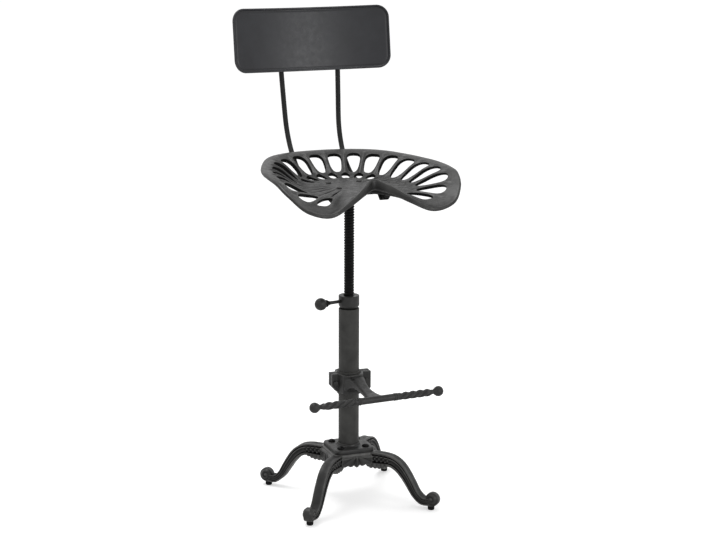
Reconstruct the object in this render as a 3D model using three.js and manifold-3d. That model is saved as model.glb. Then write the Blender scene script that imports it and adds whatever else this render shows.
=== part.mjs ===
// A tractor seat stool: a pierced cast seat with a backrest, on a screw spindle that rises out of a
// column, with a foot bar clamped to the column and a cast base with four scroll feet.
// Millimetres. The floor is z = 0 and the sitter faces -y. The pieces are drawn with the column on
// the z axis, and at the end the whole stool is moved to stand with its middle over the origin.

import * as THREE from 'three';
import { mergeVertices, toCreasedNormals } from 'three/addons/utils/BufferGeometryUtils.js';
import Module from 'manifold-3d';

const wasm = await Module();
wasm.setup();

// Clearances
const fitGap = 0.3; // left between pieces that touch
const runningGap = 0.35; // left round what turns or slides
const cutOverrun = 2; // how far a cutting shape runs past the face it cuts

// Glides and feet
const glideRadius = 7;
const glideHeight = 8;
const glideStemRadius = 3.5;
const glideStemLength = 9;
const scrollRadius = 14.5;
const scrollWidth = 22;
const scrollReach = 190;
const footInset = 3.5; // how far a glide's middle lies inside its scroll's middle
const footReach = scrollReach - footInset;

// Base casting
const hubWidth = 92;
const hubTop = 107;
const hubHeight = 23.5;
const hubDeck = 10; // thickness left over the hollow underside
const hubWall = 9;
const legRootDepth = 25;
const legShinDepth = 19;
const legAnkleDepth = 15;
const legWidth = 21;
const legCount = 4;
const apronThickness = 6;
const scallopDepth = 5;

// Flange and column
const flangeWidth = 86;
const flangeThickness = 9;
const flangeCorner = 11;
const bossRadius = 24.3;
const bossHeight = 5;
const columnRadius = 21.2;
const columnWall = 2.6;
const columnTop = 407;
const flangeBoltSpacing = 54.6;
const flangeBoltRadius = 4;

// Screw spindle and its thread insert
const spindleRadius = 10.75;
const threadDepth = 1.7;
const threadPitch = 5.6;
const spindleBottom = 323;
const journalRadius = 6.5;
const insertLength = 32;

// Guide bush under the spindle
const bushLength = 22;
const bushClearance = 0.3;
const bushWasherThickness = 2.5;
const bushWasherRadius = 11;
const bushScrewRadius = 3;
const bushScrewLength = 20;

// Locking collar with its lever
const lockRadius = 21.3;
const lockHeight = 27;
const lockTaper = 6;
const lockFoot = 17.5; // radius of the collar's lower face
const leverAngle = -168.6; // degrees from +x, seen from above
const leverRadius = 3.75;
const leverDepth = 7; // how far the lever goes into the collar
const ballRadius = 12.75;
const ballReach = 67.2;
const ferruleLength = 10;
const ferruleRadius = 8.5;

// Foot rest
const armHeight = 248;
const clampAbove = 24; // how far the clamp reaches above the arm's middle
const clampHeight = 40;
const sleeveAbove = 3; // how far the sleeve shows above the clamp
const sleeveBelow = 5;
const clampTop = armHeight + clampAbove;
const clampBottom = clampTop - clampHeight;
const sleeveTop = clampTop + sleeveAbove;
const sleeveBottom = clampBottom - sleeveBelow;
const sleeveWall = 2.7;
const sleeveSlit = 6;
const clampLeft = 40.5; // from the column's axis to the clamp's left and right sides
const clampRight = 45;
const clampRearDepth = 29;
const clampFrontDepth = 33;
const clampEarDepth = 9;
const leftChamfer = 14;
const rightChamfer = 4;
const clampSplit = 3; // gap between the clamp's two halves
const clampBoltSpacing = 66;
const clampBoltRadius = 3.2;
const armTurn = 5; // degrees, from straight ahead towards +x
const armWidth = 23;
const armFlare = 44;
const armThickness = 9;
const footBarReach = 133.3;
const footBarHalf = 133.5;
const footBarRadius = 7.2;
const armLength = footBarReach - footBarRadius - fitGap; // from the column's axis
const footBarTwistStart = 44;
const footBarTwistPitch = 54;
const footBarLobe = 1.3;
const footBallRadius = 10.7;
const footBallReach = 138;
const footSpigotRadius = 4;

// Seat bracket
const bracketHalfWidth = 44;
const bracketReach = 58; // from the middle to the front and rear flanges
const bracketTop = 657.1;
const bracketThickness = 3.5;
const lugHalf = 10; // half the width of the turned down lugs round the rods
const collarRadius = 17;
const collarLength = 17;
const seatBoltAcross = 66;
const seatBoltAlong = 62;
const seatBoltRadius = 3;

// Seat casting
const seatHalfWidth = 196;
const panHeight = 663; // top of the pan's floor
const rimRise = 44; // from the pan's floor to the rim at the back
const panThickness = 5.5;
const ribRise = 1.8;
const lobeStart = 100; // degrees from the back, where the bowl begins to turn into the front lobes
const lobeEnd = 140; // degrees
const lipReach = 3.5;
const slotGap = 9.5; // width of the ribs between the slots at the outer ends

// Backrest
const rodRadius = 5;
const rodHeight = 648.9; // middle of the rods' straight run under the seat
const rodSpread = 54.4;
const rodTopSpread = 62.4;
const rodBend = 150;
const rodBendStart = 78.5;
const rodLean = 6.3; // degrees
const rodFrontEnd = 68;
const rodTop = 975;
const backWidth = 351;
const backHeight = 133;
const backThickness = 3;
const backBead = 2.2;
const backBeadWidth = 5;
const backCorner = 27;
const backSagitta = 29;
const backBottom = 870.5;
const backEdgeForward = 206.5; // y of the backrest's side edges at its bottom
const backLean = 8.6; // degrees
const saddleHeight = 66;
const saddleWidth = 40;
const saddleThickness = 2.5;
const saddleScrewRadius = 2;

// Fasteners
const hexShare = 0.62; // a hexagon head's height as a share of its width across corners
const nutShare = 0.45;

const deg = Math.PI / 180;

// Materials
const finish = (color, roughness, metalness) =>
  new THREE.MeshStandardMaterial({ color, roughness, metalness });
const castFinish = () => finish(0x3d3d3b, 0.55, 0.5);
const tubeFinish = () => finish(0x454542, 0.45, 0.5);
const screwFinish = () => finish(0x161616, 0.4, 0.7);
const darkFinish = () => finish(0x232322, 0.45, 0.6);
const sheetFinish = () => finish(0x3a3b3a, 0.4, 0.5);
const rubberFinish = () => finish(0x121212, 0.85, 0);
const nylonFinish = () => finish(0x2a2a2a, 0.6, 0);

const stool = new THREE.Group();

function addPiece(name, geometry, material) {
  const shown = toCreasedNormals(geometry, 0.6);
  const mesh = new THREE.Mesh(shown, material);
  mesh.name = name;
  stool.add(mesh);
  return mesh;
}

// Only position is left on a geometry, and its shared vertices are merged.
function welded(geometry) {
  const bare = geometry.clone();
  for (const key of Object.keys(bare.attributes)) {
    if (key !== 'position') bare.deleteAttribute(key);
  }
  return mergeVertices(bare, 1e-4);
}

function toSolid(geometry) {
  const bare = welded(geometry);
  const mesh = new wasm.Mesh({
    numProp: 3,
    vertProperties: new Float32Array(bare.attributes.position.array),
    triVerts: new Uint32Array(bare.index.array),
  });
  mesh.merge();
  return new wasm.Manifold(mesh);
}

function toGeometry(solid) {
  const mesh = solid.getMesh();
  const geometry = new THREE.BufferGeometry();
  const positions = new Float32Array(mesh.vertProperties);
  geometry.setAttribute('position', new THREE.BufferAttribute(positions, 3));
  geometry.setIndex(new THREE.BufferAttribute(new Uint32Array(mesh.triVerts), 1));
  return geometry;
}

function cut(geometry, ...tools) {
  let solid = toSolid(geometry);
  for (const tool of tools) solid = solid.subtract(toSolid(tool));
  return toGeometry(solid);
}

function joined(geometry, ...others) {
  let solid = toSolid(geometry);
  for (const other of others) solid = solid.add(toSolid(other));
  return toGeometry(solid);
}

// An upright cylinder from z = bottom to z = top.
function upright(radius, bottom, top, sides = 24) {
  const geometry = new THREE.CylinderGeometry(radius, radius, top - bottom, sides);
  geometry.rotateX(Math.PI / 2);
  geometry.translate(0, 0, (top + bottom) / 2);
  return geometry;
}

// A turned shape about the z axis from [radius, height] pairs that start and end on the axis
// or close on themselves.
function turned(profile, sides = 32) {
  const points = profile.map(([radius, height]) => new THREE.Vector2(radius, height));
  const geometry = new THREE.LatheGeometry(points, sides);
  geometry.rotateX(Math.PI / 2);
  return geometry;
}

function ring(inner, outer, bottom, top, sides = 32) {
  return turned([[inner, bottom], [outer, bottom], [outer, top], [inner, top], [inner, bottom]], sides);
}

function block(x0, x1, y0, y1, z0, z1) {
  const geometry = new THREE.BoxGeometry(x1 - x0, y1 - y0, z1 - z0);
  geometry.translate((x0 + x1) / 2, (y0 + y1) / 2, (z0 + z1) / 2);
  return geometry;
}

// A flat outline in x and y, raised from z = bottom to z = top.
function slab(shape, bottom, top, curveSegments = 6) {
  const geometry = new THREE.ExtrudeGeometry(shape, {
    depth: top - bottom,
    bevelEnabled: false,
    curveSegments,
  });
  geometry.translate(0, 0, bottom);
  return geometry;
}

function roundedRectangle(width, depth, corner) {
  const [x, y] = [width / 2, depth / 2];
  const shape = new THREE.Shape();
  shape.moveTo(-x + corner, -y);
  shape.lineTo(x - corner, -y);
  shape.absarc(x - corner, -y + corner, corner, -Math.PI / 2, 0);
  shape.lineTo(x, y - corner);
  shape.absarc(x - corner, y - corner, corner, 0, Math.PI / 2);
  shape.lineTo(-x + corner, y);
  shape.absarc(-x + corner, y - corner, corner, Math.PI / 2, Math.PI);
  shape.lineTo(-x, -y + corner);
  shape.absarc(-x + corner, -y + corner, corner, Math.PI, Math.PI * 1.5);
  return shape;
}

function polygon(points) {
  return new THREE.Shape(points.map(([x, y]) => new THREE.Vector2(x, y)));
}

// A closed skin over rings of points, every ring with the same count. The first and last rings are
// closed by a fan about their middle.
function skin(rings, seam = -1) {
  const count = rings[0].length;
  const positions = [];
  for (const points of rings) {
    for (const point of points) positions.push(point.x, point.y, point.z);
  }
  const index = [];
  for (let r = 0; r < rings.length - 1; r += 1) {
    for (let i = 0; i < count; i += 1) {
      const a = r * count + i;
      const b = r * count + (i + 1) % count;
      index.push(a, b, b + count, a, b + count, a + count);
    }
  }
  const ends = [[0, 1], [rings.length - 1, 0]];
  const fans = seam < 0 ? ends : [];
  for (const [r, turn] of seam < 0 ? [] : ends) {
    const at = (i) => r * count + (seam + i + count) % count;
    const face = (a, b, c) => index.push(a, turn ? c : b, turn ? b : c);
    for (let i = 0; i < count / 2; i += 1) {
      if (i < count / 2 - 1) face(at(i), at(i + 1), at(-i - 1));
      if (i > 0) face(at(i), at(-i - 1), at(-i));
    }
  }
  for (const [r, turn] of fans) {
    const middle = new THREE.Vector3();
    for (const point of rings[r]) middle.addScaledVector(point, 1 / count);
    const m = positions.length / 3;
    positions.push(middle.x, middle.y, middle.z);
    for (let i = 0; i < count; i += 1) {
      const a = r * count + i;
      const b = r * count + (i + 1) % count;
      if (turn) index.push(m, b, a);
      else index.push(m, a, b);
    }
  }
  const geometry = new THREE.BufferGeometry();
  geometry.setAttribute('position', new THREE.Float32BufferAttribute(positions, 3));
  geometry.setIndex(index);
  return geometry;
}

// Hexagon head at z = 0 to its height, with a round shank below it.
function hexBolt(shankRadius, shankLength) {
  const headRadius = shankRadius * 1.85;
  const headHeight = headRadius * hexShare;
  const head = upright(headRadius, 0, headHeight, 6);
  const shank = upright(shankRadius, -shankLength, headHeight / 2, 12);
  return joined(head, shank);
}

// Domed round head above z = 0, with a round shank below it.
function domeBolt(shankRadius, shankLength) {
  const headRadius = shankRadius * 2;
  const headHeight = shankRadius;
  return turned([
    [0, -shankLength],
    [shankRadius, -shankLength],
    [shankRadius, 0],
    [headRadius, 0],
    [headRadius * 0.8, headHeight * 0.7],
    [0, headHeight],
  ], 12);
}

// Hexagon nut from z = 0 up.
function hexNut(shankRadius) {
  const nutRadius = shankRadius * 1.9;
  const nutHeight = nutRadius * 2 * nutShare;
  const bore = upright(shankRadius + fitGap, -cutOverrun, nutHeight + cutOverrun, 12);
  return cut(upright(nutRadius, 0, nutHeight, 6), bore);
}

const nutHeightOf = (shankRadius) => shankRadius * 1.9 * 2 * nutShare;

// The base: legs, scroll feet, hub and aprons in one casting

const baseBottom = glideHeight + fitGap;
const scrollHeight = baseBottom + scrollRadius;
const hubBottom = hubTop - hubHeight;

// A leg's middle line as shares of the scroll's reach and the hub's height, from hub to foot.
const legReachShares = [0.2, 0.33, 0.45, 0.54, 0.62, 0.69, 0.75, 0.81, 0.885, 0.965];
const legRiseShares = [0.874, 0.885, 0.884, 0.85, 0.758, 0.61, 0.444, 0.276, 0.165, 0.162];
const legDepthShares = [0, 0, 0.1, 0.25, 0.5, 0.9, 1, 1, 1, 1];
const ankleShares = [0, 0, 0, 0, 0, 0, 0.4, 0.9, 1, 1];

// A leg's section as shares of half its depth and half its width, with a groove along each side
// that fades out at the ankle.
const legSectionShares = [[1, 0.6], [0.72, 1], [0.3, 0.84], [-0.3, 0.84], [-0.72, 1], [-1, 0.6]];
const grooveEndShare = 0.97;

function legGeometry() {
  const stations = legReachShares.map((share, i) => new THREE.Vector3(
    share * scrollReach,
    0,
    legRiseShares[i] * hubTop,
  ));
  const line = new THREE.CatmullRomCurve3(stations);
  const steps = 12;
  const rings = [];
  for (let i = 0; i <= steps; i += 1) {
    const t = i / steps;
    const middle = line.getPoint(t);
    const tangent = line.getTangent(t);
    const normal = new THREE.Vector3(-tangent.z, 0, tangent.x);
    const place = t * (legReachShares.length - 1);
    const before = Math.min(Math.floor(place), legReachShares.length - 2);
    const part = place - before;
    const shin = THREE.MathUtils.lerp(legDepthShares[before], legDepthShares[before + 1], part);
    const ankle = THREE.MathUtils.lerp(ankleShares[before], ankleShares[before + 1], part);
    const upper = THREE.MathUtils.lerp(legRootDepth, legShinDepth, shin);
    const depth = THREE.MathUtils.lerp(upper, legAnkleDepth, ankle);
    const faded = legSectionShares.map(([n, w], k) => (
      [n, k === 2 || k === 3 ? THREE.MathUtils.lerp(w, grooveEndShare, ankle) : w]
    ));
    const section = [...faded, ...faded.map(([n, w]) => [n, -w]).reverse()];
    rings.push(section.map(([n, w]) => new THREE.Vector3()
      .copy(middle)
      .addScaledVector(normal, n * depth / 2)
      .add(new THREE.Vector3(0, -w * legWidth / 2, 0))));
  }
  return skin(rings);
}

function scrollGeometry() {
  const edge = scrollWidth * 0.12;
  const profile = [
    [0, -scrollWidth / 2],
    [scrollRadius - edge, -scrollWidth / 2],
    [scrollRadius, -scrollWidth / 2 + edge],
    [scrollRadius, scrollWidth / 2 - edge],
    [scrollRadius - edge, scrollWidth / 2],
    [0, scrollWidth / 2],
  ];
  const geometry = turned(profile, 18);
  geometry.rotateX(Math.PI / 2);
  geometry.translate(scrollReach, 0, scrollHeight);
  return geometry;
}

// Pad under the scroll, flat at the bottom, that the glide is pushed into.
function footPad() {
  const padRadius = glideRadius * 1.15;
  const pad = upright(padRadius, baseBottom, scrollHeight, 16);
  pad.translate(footReach, 0, 0);
  return pad;
}

// The apron between two legs, with a scalloped lower edge, standing on the -y side.
function apronGeometry() {
  const half = hubWidth * 0.36;
  const scallops = 5;
  const shape = new THREE.Shape();
  shape.moveTo(-half, hubTop - hubDeck);
  shape.lineTo(-half, hubBottom);
  for (let i = 0; i < scallops; i += 1) {
    const x0 = -half + i * 2 * half / scallops;
    const x1 = x0 + 2 * half / scallops;
    const drop = hubBottom - scallopDepth * (i === 2 ? 1.6 : 1);
    shape.quadraticCurveTo((x0 + x1) / 2, drop, x1, hubBottom);
  }
  shape.lineTo(half, hubTop - hubDeck);
  const geometry = slab(shape, 0, apronThickness + hubWall / 2, 4);
  geometry.rotateX(Math.PI / 2);
  geometry.translate(0, -hubWidth / 2 + hubWall / 2, 0);
  return geometry;
}

function baseCasting() {
  let solid = toSolid(slab(roundedRectangle(hubWidth, hubWidth, hubWall), hubBottom, hubTop));
  for (let i = 0; i < legCount; i += 1) {
    const turn = (i + 0.5) * 2 * Math.PI / legCount;
    for (const piece of [legGeometry(), scrollGeometry(), footPad()]) {
      piece.rotateZ(turn);
      solid = solid.add(toSolid(piece));
    }
    const apron = apronGeometry();
    apron.rotateZ(i * 2 * Math.PI / legCount);
    solid = solid.add(toSolid(apron));
  }
  const hollowWidth = hubWidth - 2 * hubWall;
  const hollow = slab(
    roundedRectangle(hollowWidth, hollowWidth, hubWall),
    hubBottom - scallopDepth * 2 - cutOverrun,
    hubTop - hubDeck,
  );
  solid = solid.subtract(toSolid(hollow));
  for (const [x, y] of flangeBoltPlaces()) {
    const hole = upright(flangeBoltRadius + fitGap, hubBottom, hubTop + cutOverrun, 12);
    hole.translate(x, y, 0);
    solid = solid.subtract(toSolid(hole));
  }
  for (const turn of footTurns()) {
    const top = baseBottom + glideStemLength + fitGap;
    const hole = upright(glideStemRadius + fitGap, 0, top, 12);
    hole.translate(footReach, 0, 0);
    hole.rotateZ(turn);
    solid = solid.subtract(toSolid(hole));
  }
  return toGeometry(solid);
}

function footTurns() {
  return Array.from({ length: legCount }, (_, i) => (i + 0.5) * 2 * Math.PI / legCount);
}

function flangeBoltPlaces() {
  const half = flangeBoltSpacing / 2;
  return [[-half, -half], [half, -half], [half, half], [-half, half]];
}

function addBase() {
  addPiece('base_casting', baseCasting(), castFinish());
  const places = ['right_rear', 'left_rear', 'left_front', 'right_front'];
  footTurns().forEach((turn, i) => {
    const glide = turned([
      [0, 0],
      [glideRadius * 0.85, 0],
      [glideRadius, glideHeight * 0.2],
      [glideRadius, glideHeight],
      [glideStemRadius, glideHeight],
      [glideStemRadius, glideHeight + glideStemLength],
      [0, glideHeight + glideStemLength],
    ], 12);
    glide.translate(footReach, 0, 0);
    glide.rotateZ(turn);
    addPiece(`glide_${places[i]}`, glide, rubberFinish());
  });
}

// The column on its flange

const flangeBottom = hubTop + fitGap;
const flangeTop = flangeBottom + flangeThickness;

function addColumn() {
  const plate = slab(roundedRectangle(flangeWidth, flangeWidth, flangeCorner), flangeBottom, flangeTop);
  const boss = turned([
    [0, flangeBottom],
    [bossRadius, flangeBottom],
    [bossRadius, flangeTop + bossHeight * 0.6],
    [bossRadius - bossHeight * 0.4, flangeTop + bossHeight],
    [0, flangeTop + bossHeight],
  ], 36);
  const holes = flangeBoltPlaces().map(([x, y]) => {
    const hole = upright(flangeBoltRadius + fitGap, hubTop - cutOverrun, flangeTop + cutOverrun, 12);
    hole.translate(x, y, 0);
    return hole;
  });
  const bore = upright(columnRadius + fitGap, hubTop - cutOverrun, columnTop, 36);
  addPiece('column_flange', cut(joined(plate, boss), bore, ...holes), castFinish());

  const chamfer = columnWall * 0.4;
  addPiece('column_tube', turned([
    [columnRadius - columnWall, flangeBottom],
    [columnRadius, flangeBottom],
    [columnRadius, columnTop - chamfer],
    [columnRadius - chamfer, columnTop],
    [columnRadius - columnWall, columnTop],
    [columnRadius - columnWall, flangeBottom],
  ], 36), tubeFinish());

  flangeBoltPlaces().forEach(([x, y], i) => {
    const grip = flangeThickness + fitGap + hubDeck;
    const bolt = hexBolt(flangeBoltRadius, grip + nutHeightOf(flangeBoltRadius) + fitGap * 2);
    bolt.translate(x, y, flangeTop + fitGap);
    addPiece(`flange_bolt_${i + 1}`, bolt, darkFinish());
    const nut = hexNut(flangeBoltRadius);
    nut.translate(x, y, hubTop - hubDeck - fitGap - nutHeightOf(flangeBoltRadius));
    addPiece(`flange_nut_${i + 1}`, nut, darkFinish());
  });

  const insertRadius = columnRadius - columnWall - fitGap;
  const insert = ring(
    spindleRadius + runningGap,
    insertRadius,
    columnTop - insertLength,
    columnTop,
    32,
  );
  addPiece('thread_insert', insert, darkFinish());
}

// The spindle with its thread, and the guide bush below it

const collarBottom = bracketTop - bracketThickness - fitGap - collarLength;
const journalTop = spindleBottom + bushLength + 2 * fitGap;

function spindleGeometry() {
  const sides = 12;
  const plainRadius = spindleRadius - threadDepth;
  const threadBottom = journalTop + threadPitch / 2;
  const threadTop = collarBottom - threadPitch / 2;
  const ringAt = (radius, height) => Array.from({ length: sides }, (_, i) => {
    const angle = i * 2 * Math.PI / sides;
    return new THREE.Vector3(radius * Math.cos(angle), radius * Math.sin(angle), height);
  });
  const rings = [ringAt(journalRadius, spindleBottom), ringAt(journalRadius, journalTop)];
  rings.push(ringAt(plainRadius, journalTop));
  const rows = 2 * Math.round((threadTop - threadBottom) / threadPitch);
  for (let row = 0; row <= rows; row += 1) {
    rings.push(Array.from({ length: sides }, (_, i) => {
      const share = i / sides;
      const angle = share * 2 * Math.PI;
      const height = threadBottom + (row + share * 2 - 1) * threadPitch / 2;
      const radius = row % 2 ? spindleRadius : plainRadius;
      return new THREE.Vector3(radius * Math.cos(angle), radius * Math.sin(angle), height);
    }));
  }
  rings.push(ringAt(plainRadius, collarBottom));
  rings.push(ringAt(plainRadius, bracketTop - fitGap));
  return skin(rings);
}

function addSpindle() {
  const screwHole = upright(
    bushScrewRadius + fitGap,
    spindleBottom - cutOverrun,
    spindleBottom + bushScrewLength,
    12,
  );
  addPiece('spindle', cut(spindleGeometry(), screwHole), screwFinish());

  const boreRadius = columnRadius - columnWall;
  const bushBottom = spindleBottom + fitGap;
  const bush = ring(
    journalRadius + runningGap,
    boreRadius - bushClearance,
    bushBottom,
    bushBottom + bushLength,
    32,
  );
  addPiece('guide_bush', bush, nylonFinish());

  const washerTop = spindleBottom - fitGap;
  const washer = ring(
    bushScrewRadius + fitGap,
    bushWasherRadius,
    washerTop - bushWasherThickness,
    washerTop,
    20,
  );
  addPiece('bush_washer', washer, darkFinish());
  const screw = hexBolt(bushScrewRadius, bushWasherThickness + bushScrewLength - fitGap);
  screw.rotateX(Math.PI);
  screw.translate(0, 0, washerTop - bushWasherThickness - fitGap);
  addPiece('bush_screw', screw, darkFinish());
}

// The locking collar and its ball lever

const lockBottom = columnTop + fitGap;
const leverHeight = lockBottom + lockTaper + (lockHeight - lockTaper) * 0.47;

function alongLever(geometry) {
  geometry.rotateY(Math.PI / 2);
  geometry.rotateZ(leverAngle * deg);
  geometry.translate(0, 0, leverHeight);
  return geometry;
}

function addLock() {
  const top = lockBottom + lockHeight;
  const bore = spindleRadius + runningGap;
  const edge = lockRadius * 0.05;
  const collar = turned([
    [bore, lockBottom],
    [lockFoot, lockBottom],
    [lockRadius, lockBottom + lockTaper],
    [lockRadius, top - edge],
    [lockRadius - edge, top],
    [bore, top],
    [bore, lockBottom],
  ], 36);
  const leverStart = lockRadius - leverDepth;
  const socket = alongLever(upright(leverRadius + fitGap, leverStart - fitGap, ballReach, 12));
  addPiece('lock_collar', cut(collar, socket), castFinish());

  const ballSocketDepth = ballRadius * 0.8;
  const leverEnd = ballReach - ballRadius + ballSocketDepth;
  addPiece('lock_lever', alongLever(upright(leverRadius, leverStart, leverEnd, 12)), darkFinish());

  const bead = new THREE.SphereGeometry(ballRadius, 16, 10);
  bead.translate(0, 0, ballReach);
  const ballHole = upright(leverRadius + fitGap, 0, leverEnd + fitGap, 12);
  addPiece('lock_ball', alongLever(cut(bead, ballHole)), darkFinish());

  const ferruleEnd = ballReach - Math.sqrt(ballRadius ** 2 - ferruleRadius ** 2) - fitGap * 2;
  const ferruleBore = leverRadius + fitGap;
  const ferrule = turned([
    [ferruleBore, ferruleEnd - ferruleLength],
    [leverRadius + ferruleLength * 0.15, ferruleEnd - ferruleLength],
    [ferruleRadius * 0.9, ferruleEnd - ferruleLength * 0.25],
    [ferruleRadius, ferruleEnd - ferruleLength * 0.1],
    [ferruleRadius * 0.96, ferruleEnd],
    [ferruleBore, ferruleEnd],
    [ferruleBore, ferruleEnd - ferruleLength],
  ], 20);
  const ballRoom = new THREE.SphereGeometry(ballRadius + fitGap, 16, 10);
  ballRoom.translate(0, 0, ballReach);
  addPiece('lever_ferrule', alongLever(cut(ferrule, ballRoom)), darkFinish());
}

// The foot rest: a split sleeve on the column, a clamp in two halves, an arm and a twisted bar

const sleeveInner = columnRadius + runningGap;
const sleeveOuter = sleeveInner + sleeveWall;
const clampBore = sleeveOuter + runningGap;

// The clamp's outline in x and z: square above, with its lower corners cut away.
function clampOutline() {
  return [
    [-clampLeft, clampTop],
    [-clampLeft, clampBottom + leftChamfer],
    [-clampLeft + leftChamfer * 0.9, clampBottom],
    [clampRight - rightChamfer * 0.9, clampBottom],
    [clampRight, clampBottom + rightChamfer],
    [clampRight, clampTop],
  ].map(([x, z]) => [x, -z]);
}

function clampHalf(side, depth) {
  const ear = clampSplit / 2 + clampEarDepth;
  const split = clampSplit / 2;
  const web = clampBore + sleeveWall;
  const plan = polygon([
    [-clampLeft, split * side],
    [clampRight, split * side],
    [clampRight, ear * side],
    [web, ear * side],
    [web * 0.8, depth * 0.8 * side],
    [web * 0.5, depth * side],
    [-web * 0.5, depth * side],
    [-web * 0.8, depth * 0.8 * side],
    [-web, ear * side],
    [-clampLeft, ear * side],
  ]);
  const body = slab(plan, clampBottom, clampTop);
  const sides = slab(polygon(clampOutline()), -clampRight, clampRight);
  sides.rotateX(-Math.PI / 2);
  const bore = upright(clampBore, clampBottom - cutOverrun, clampTop + cutOverrun, 36);
  let solid = toSolid(body).intersect(toSolid(sides)).subtract(toSolid(bore));
  for (const x of [-clampBoltSpacing / 2, clampBoltSpacing / 2]) {
    const hole = upright(clampBoltRadius + fitGap, -clampRight, clampRight, 12);
    hole.rotateX(Math.PI / 2);
    hole.translate(x, 0, (clampTop + clampBottom) / 2);
    solid = solid.subtract(toSolid(hole));
  }
  return solid;
}

function armGeometry() {
  const start = clampFrontDepth - clampSplit;
  const flareStart = armLength * 0.68;
  const shape = new THREE.Shape();
  shape.moveTo(-armWidth * 0.75, -start);
  shape.quadraticCurveTo(-armWidth / 2, -start, -armWidth / 2, -start - armWidth);
  shape.lineTo(-armWidth / 2, -flareStart);
  shape.quadraticCurveTo(-armWidth / 2, -armLength, -armFlare / 2, -armLength);
  shape.lineTo(armFlare / 2, -armLength);
  shape.quadraticCurveTo(armWidth / 2, -armLength, armWidth / 2, -flareStart);
  shape.lineTo(armWidth / 2, -start - armWidth);
  shape.quadraticCurveTo(armWidth / 2, -start, armWidth * 0.75, -start);
  return slab(shape, armHeight - armThickness / 2, armHeight + armThickness / 2);
}

// A lobed section that turns as it goes along the bar, plain in the middle.
function footBarGeometry() {
  const sides = 8;
  const lobes = 4;
  const steps = 26;
  const rings = [];
  const sectionAt = (x, lobe, turn, radius) => Array.from({ length: sides }, (_, i) => {
    const angle = i * 2 * Math.PI / sides;
    const reach = radius - lobe * (1 - Math.cos(lobes * (angle - turn))) / 2;
    return new THREE.Vector3(
      x,
      -footBarReach + reach * Math.cos(angle),
      armHeight + reach * Math.sin(angle),
    );
  });
  const twistLength = footBarHalf - footBarTwistStart;
  const spigotEnd = footBallReach + footBallRadius * 0.4;
  rings.push(sectionAt(-spigotEnd, 0, 0, footSpigotRadius));
  rings.push(sectionAt(-footBallReach + footBallRadius, 0, 0, footSpigotRadius));
  for (const side of [-1, 1]) {
    for (let step = 0; step <= steps; step += 1) {
      const along = side < 0 ? 1 - step / steps : step / steps;
      const x = side * (footBarTwistStart + along * (twistLength - footBallRadius * 0.6));
      const turn = side * along * twistLength / footBarTwistPitch * 2 * Math.PI;
      rings.push(sectionAt(x, footBarLobe * Math.min(1, along * steps / 2), turn, footBarRadius));
    }
  }
  rings.push(sectionAt(footBallReach - footBallRadius, 0, 0, footSpigotRadius));
  rings.push(sectionAt(spigotEnd, 0, 0, footSpigotRadius));
  return skin(rings);
}

// Turns a piece of the arm or the bar about the column, away from straight ahead.
function turnedArm(geometry) {
  geometry.rotateZ(armTurn * deg);
  return geometry;
}

function addFootRest() {
  const sleeve = ring(sleeveInner, sleeveOuter, sleeveBottom, sleeveTop, 36);
  const slit = block(
    -sleeveSlit / 2,
    sleeveSlit / 2,
    0,
    clampBore,
    sleeveBottom - cutOverrun,
    sleeveTop + cutOverrun,
  );
  addPiece('footrest_sleeve', cut(sleeve, slit), tubeFinish());

  const rear = clampHalf(1, clampRearDepth);
  addPiece('clamp_rear', toGeometry(rear), castFinish());
  const front = clampHalf(-1, clampFrontDepth);
  const bar = turnedArm(footBarGeometry());
  const barRoom = upright(footBarRadius + fitGap, -footBarTwistStart, footBarTwistStart, 24);
  barRoom.rotateY(Math.PI / 2);
  barRoom.translate(0, -footBarReach, armHeight);
  const arm = toSolid(turnedArm(armGeometry())).subtract(toSolid(turnedArm(barRoom)));
  addPiece('clamp_arm', toGeometry(front.add(arm)), castFinish());
  addPiece('foot_bar', bar, castFinish());

  const earFace = clampSplit / 2 + clampEarDepth;
  [['left', -1], ['right', 1]].forEach(([name, side]) => {
    const x = side * clampBoltSpacing / 2;
    const z = (clampTop + clampBottom) / 2;
    const reach = 2 * earFace + 2 * fitGap + nutHeightOf(clampBoltRadius);
    const bolt = hexBolt(clampBoltRadius, reach);
    bolt.rotateX(Math.PI / 2);
    bolt.translate(x, -earFace - fitGap, z);
    addPiece(`clamp_bolt_${name}`, bolt, darkFinish());
    const nut = hexNut(clampBoltRadius);
    nut.rotateX(-Math.PI / 2);
    nut.translate(x, earFace + fitGap, z);
    addPiece(`clamp_nut_${name}`, nut, darkFinish());

    const ball = new THREE.SphereGeometry(footBallRadius, 16, 10);
    const spigot = upright(
      footSpigotRadius + fitGap,
      -footBallRadius * 2,
      footBallRadius * 0.4 + fitGap,
      12,
    );
    const bored = cut(ball, spigot);
    bored.rotateY(side * Math.PI / 2);
    bored.translate(side * footBallReach, -footBarReach, armHeight);
    addPiece(`foot_bar_ball_${name}`, turnedArm(bored), castFinish());
  });
}

// The bracket under the seat

const bracketBottom = bracketTop - bracketThickness;

function rodCrossings() {
  return [-rodSpread, rodSpread];
}

function seatBoltPlaces() {
  const [x, y] = [seatBoltAcross / 2, seatBoltAlong / 2];
  return [[-x, -y], [x, -y], [x, y], [-x, y]];
}

// A cross bar with a lug at each end, seen from the front, as an outline.
function flangeOutline() {
  const low = rodHeight - lugHalf;
  const end = rodSpread + lugHalf;
  const inner = rodSpread - lugHalf;
  const half = [
    [end, bracketTop],
    [end, low + lugHalf / 2],
    [end - lugHalf / 2, low],
    [inner, low],
    [inner - lugHalf / 2, bracketBottom - bracketThickness / 2],
  ];
  return polygon([...half, ...half.map(([x, z]) => [-x, z]).reverse()]);
}

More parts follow.
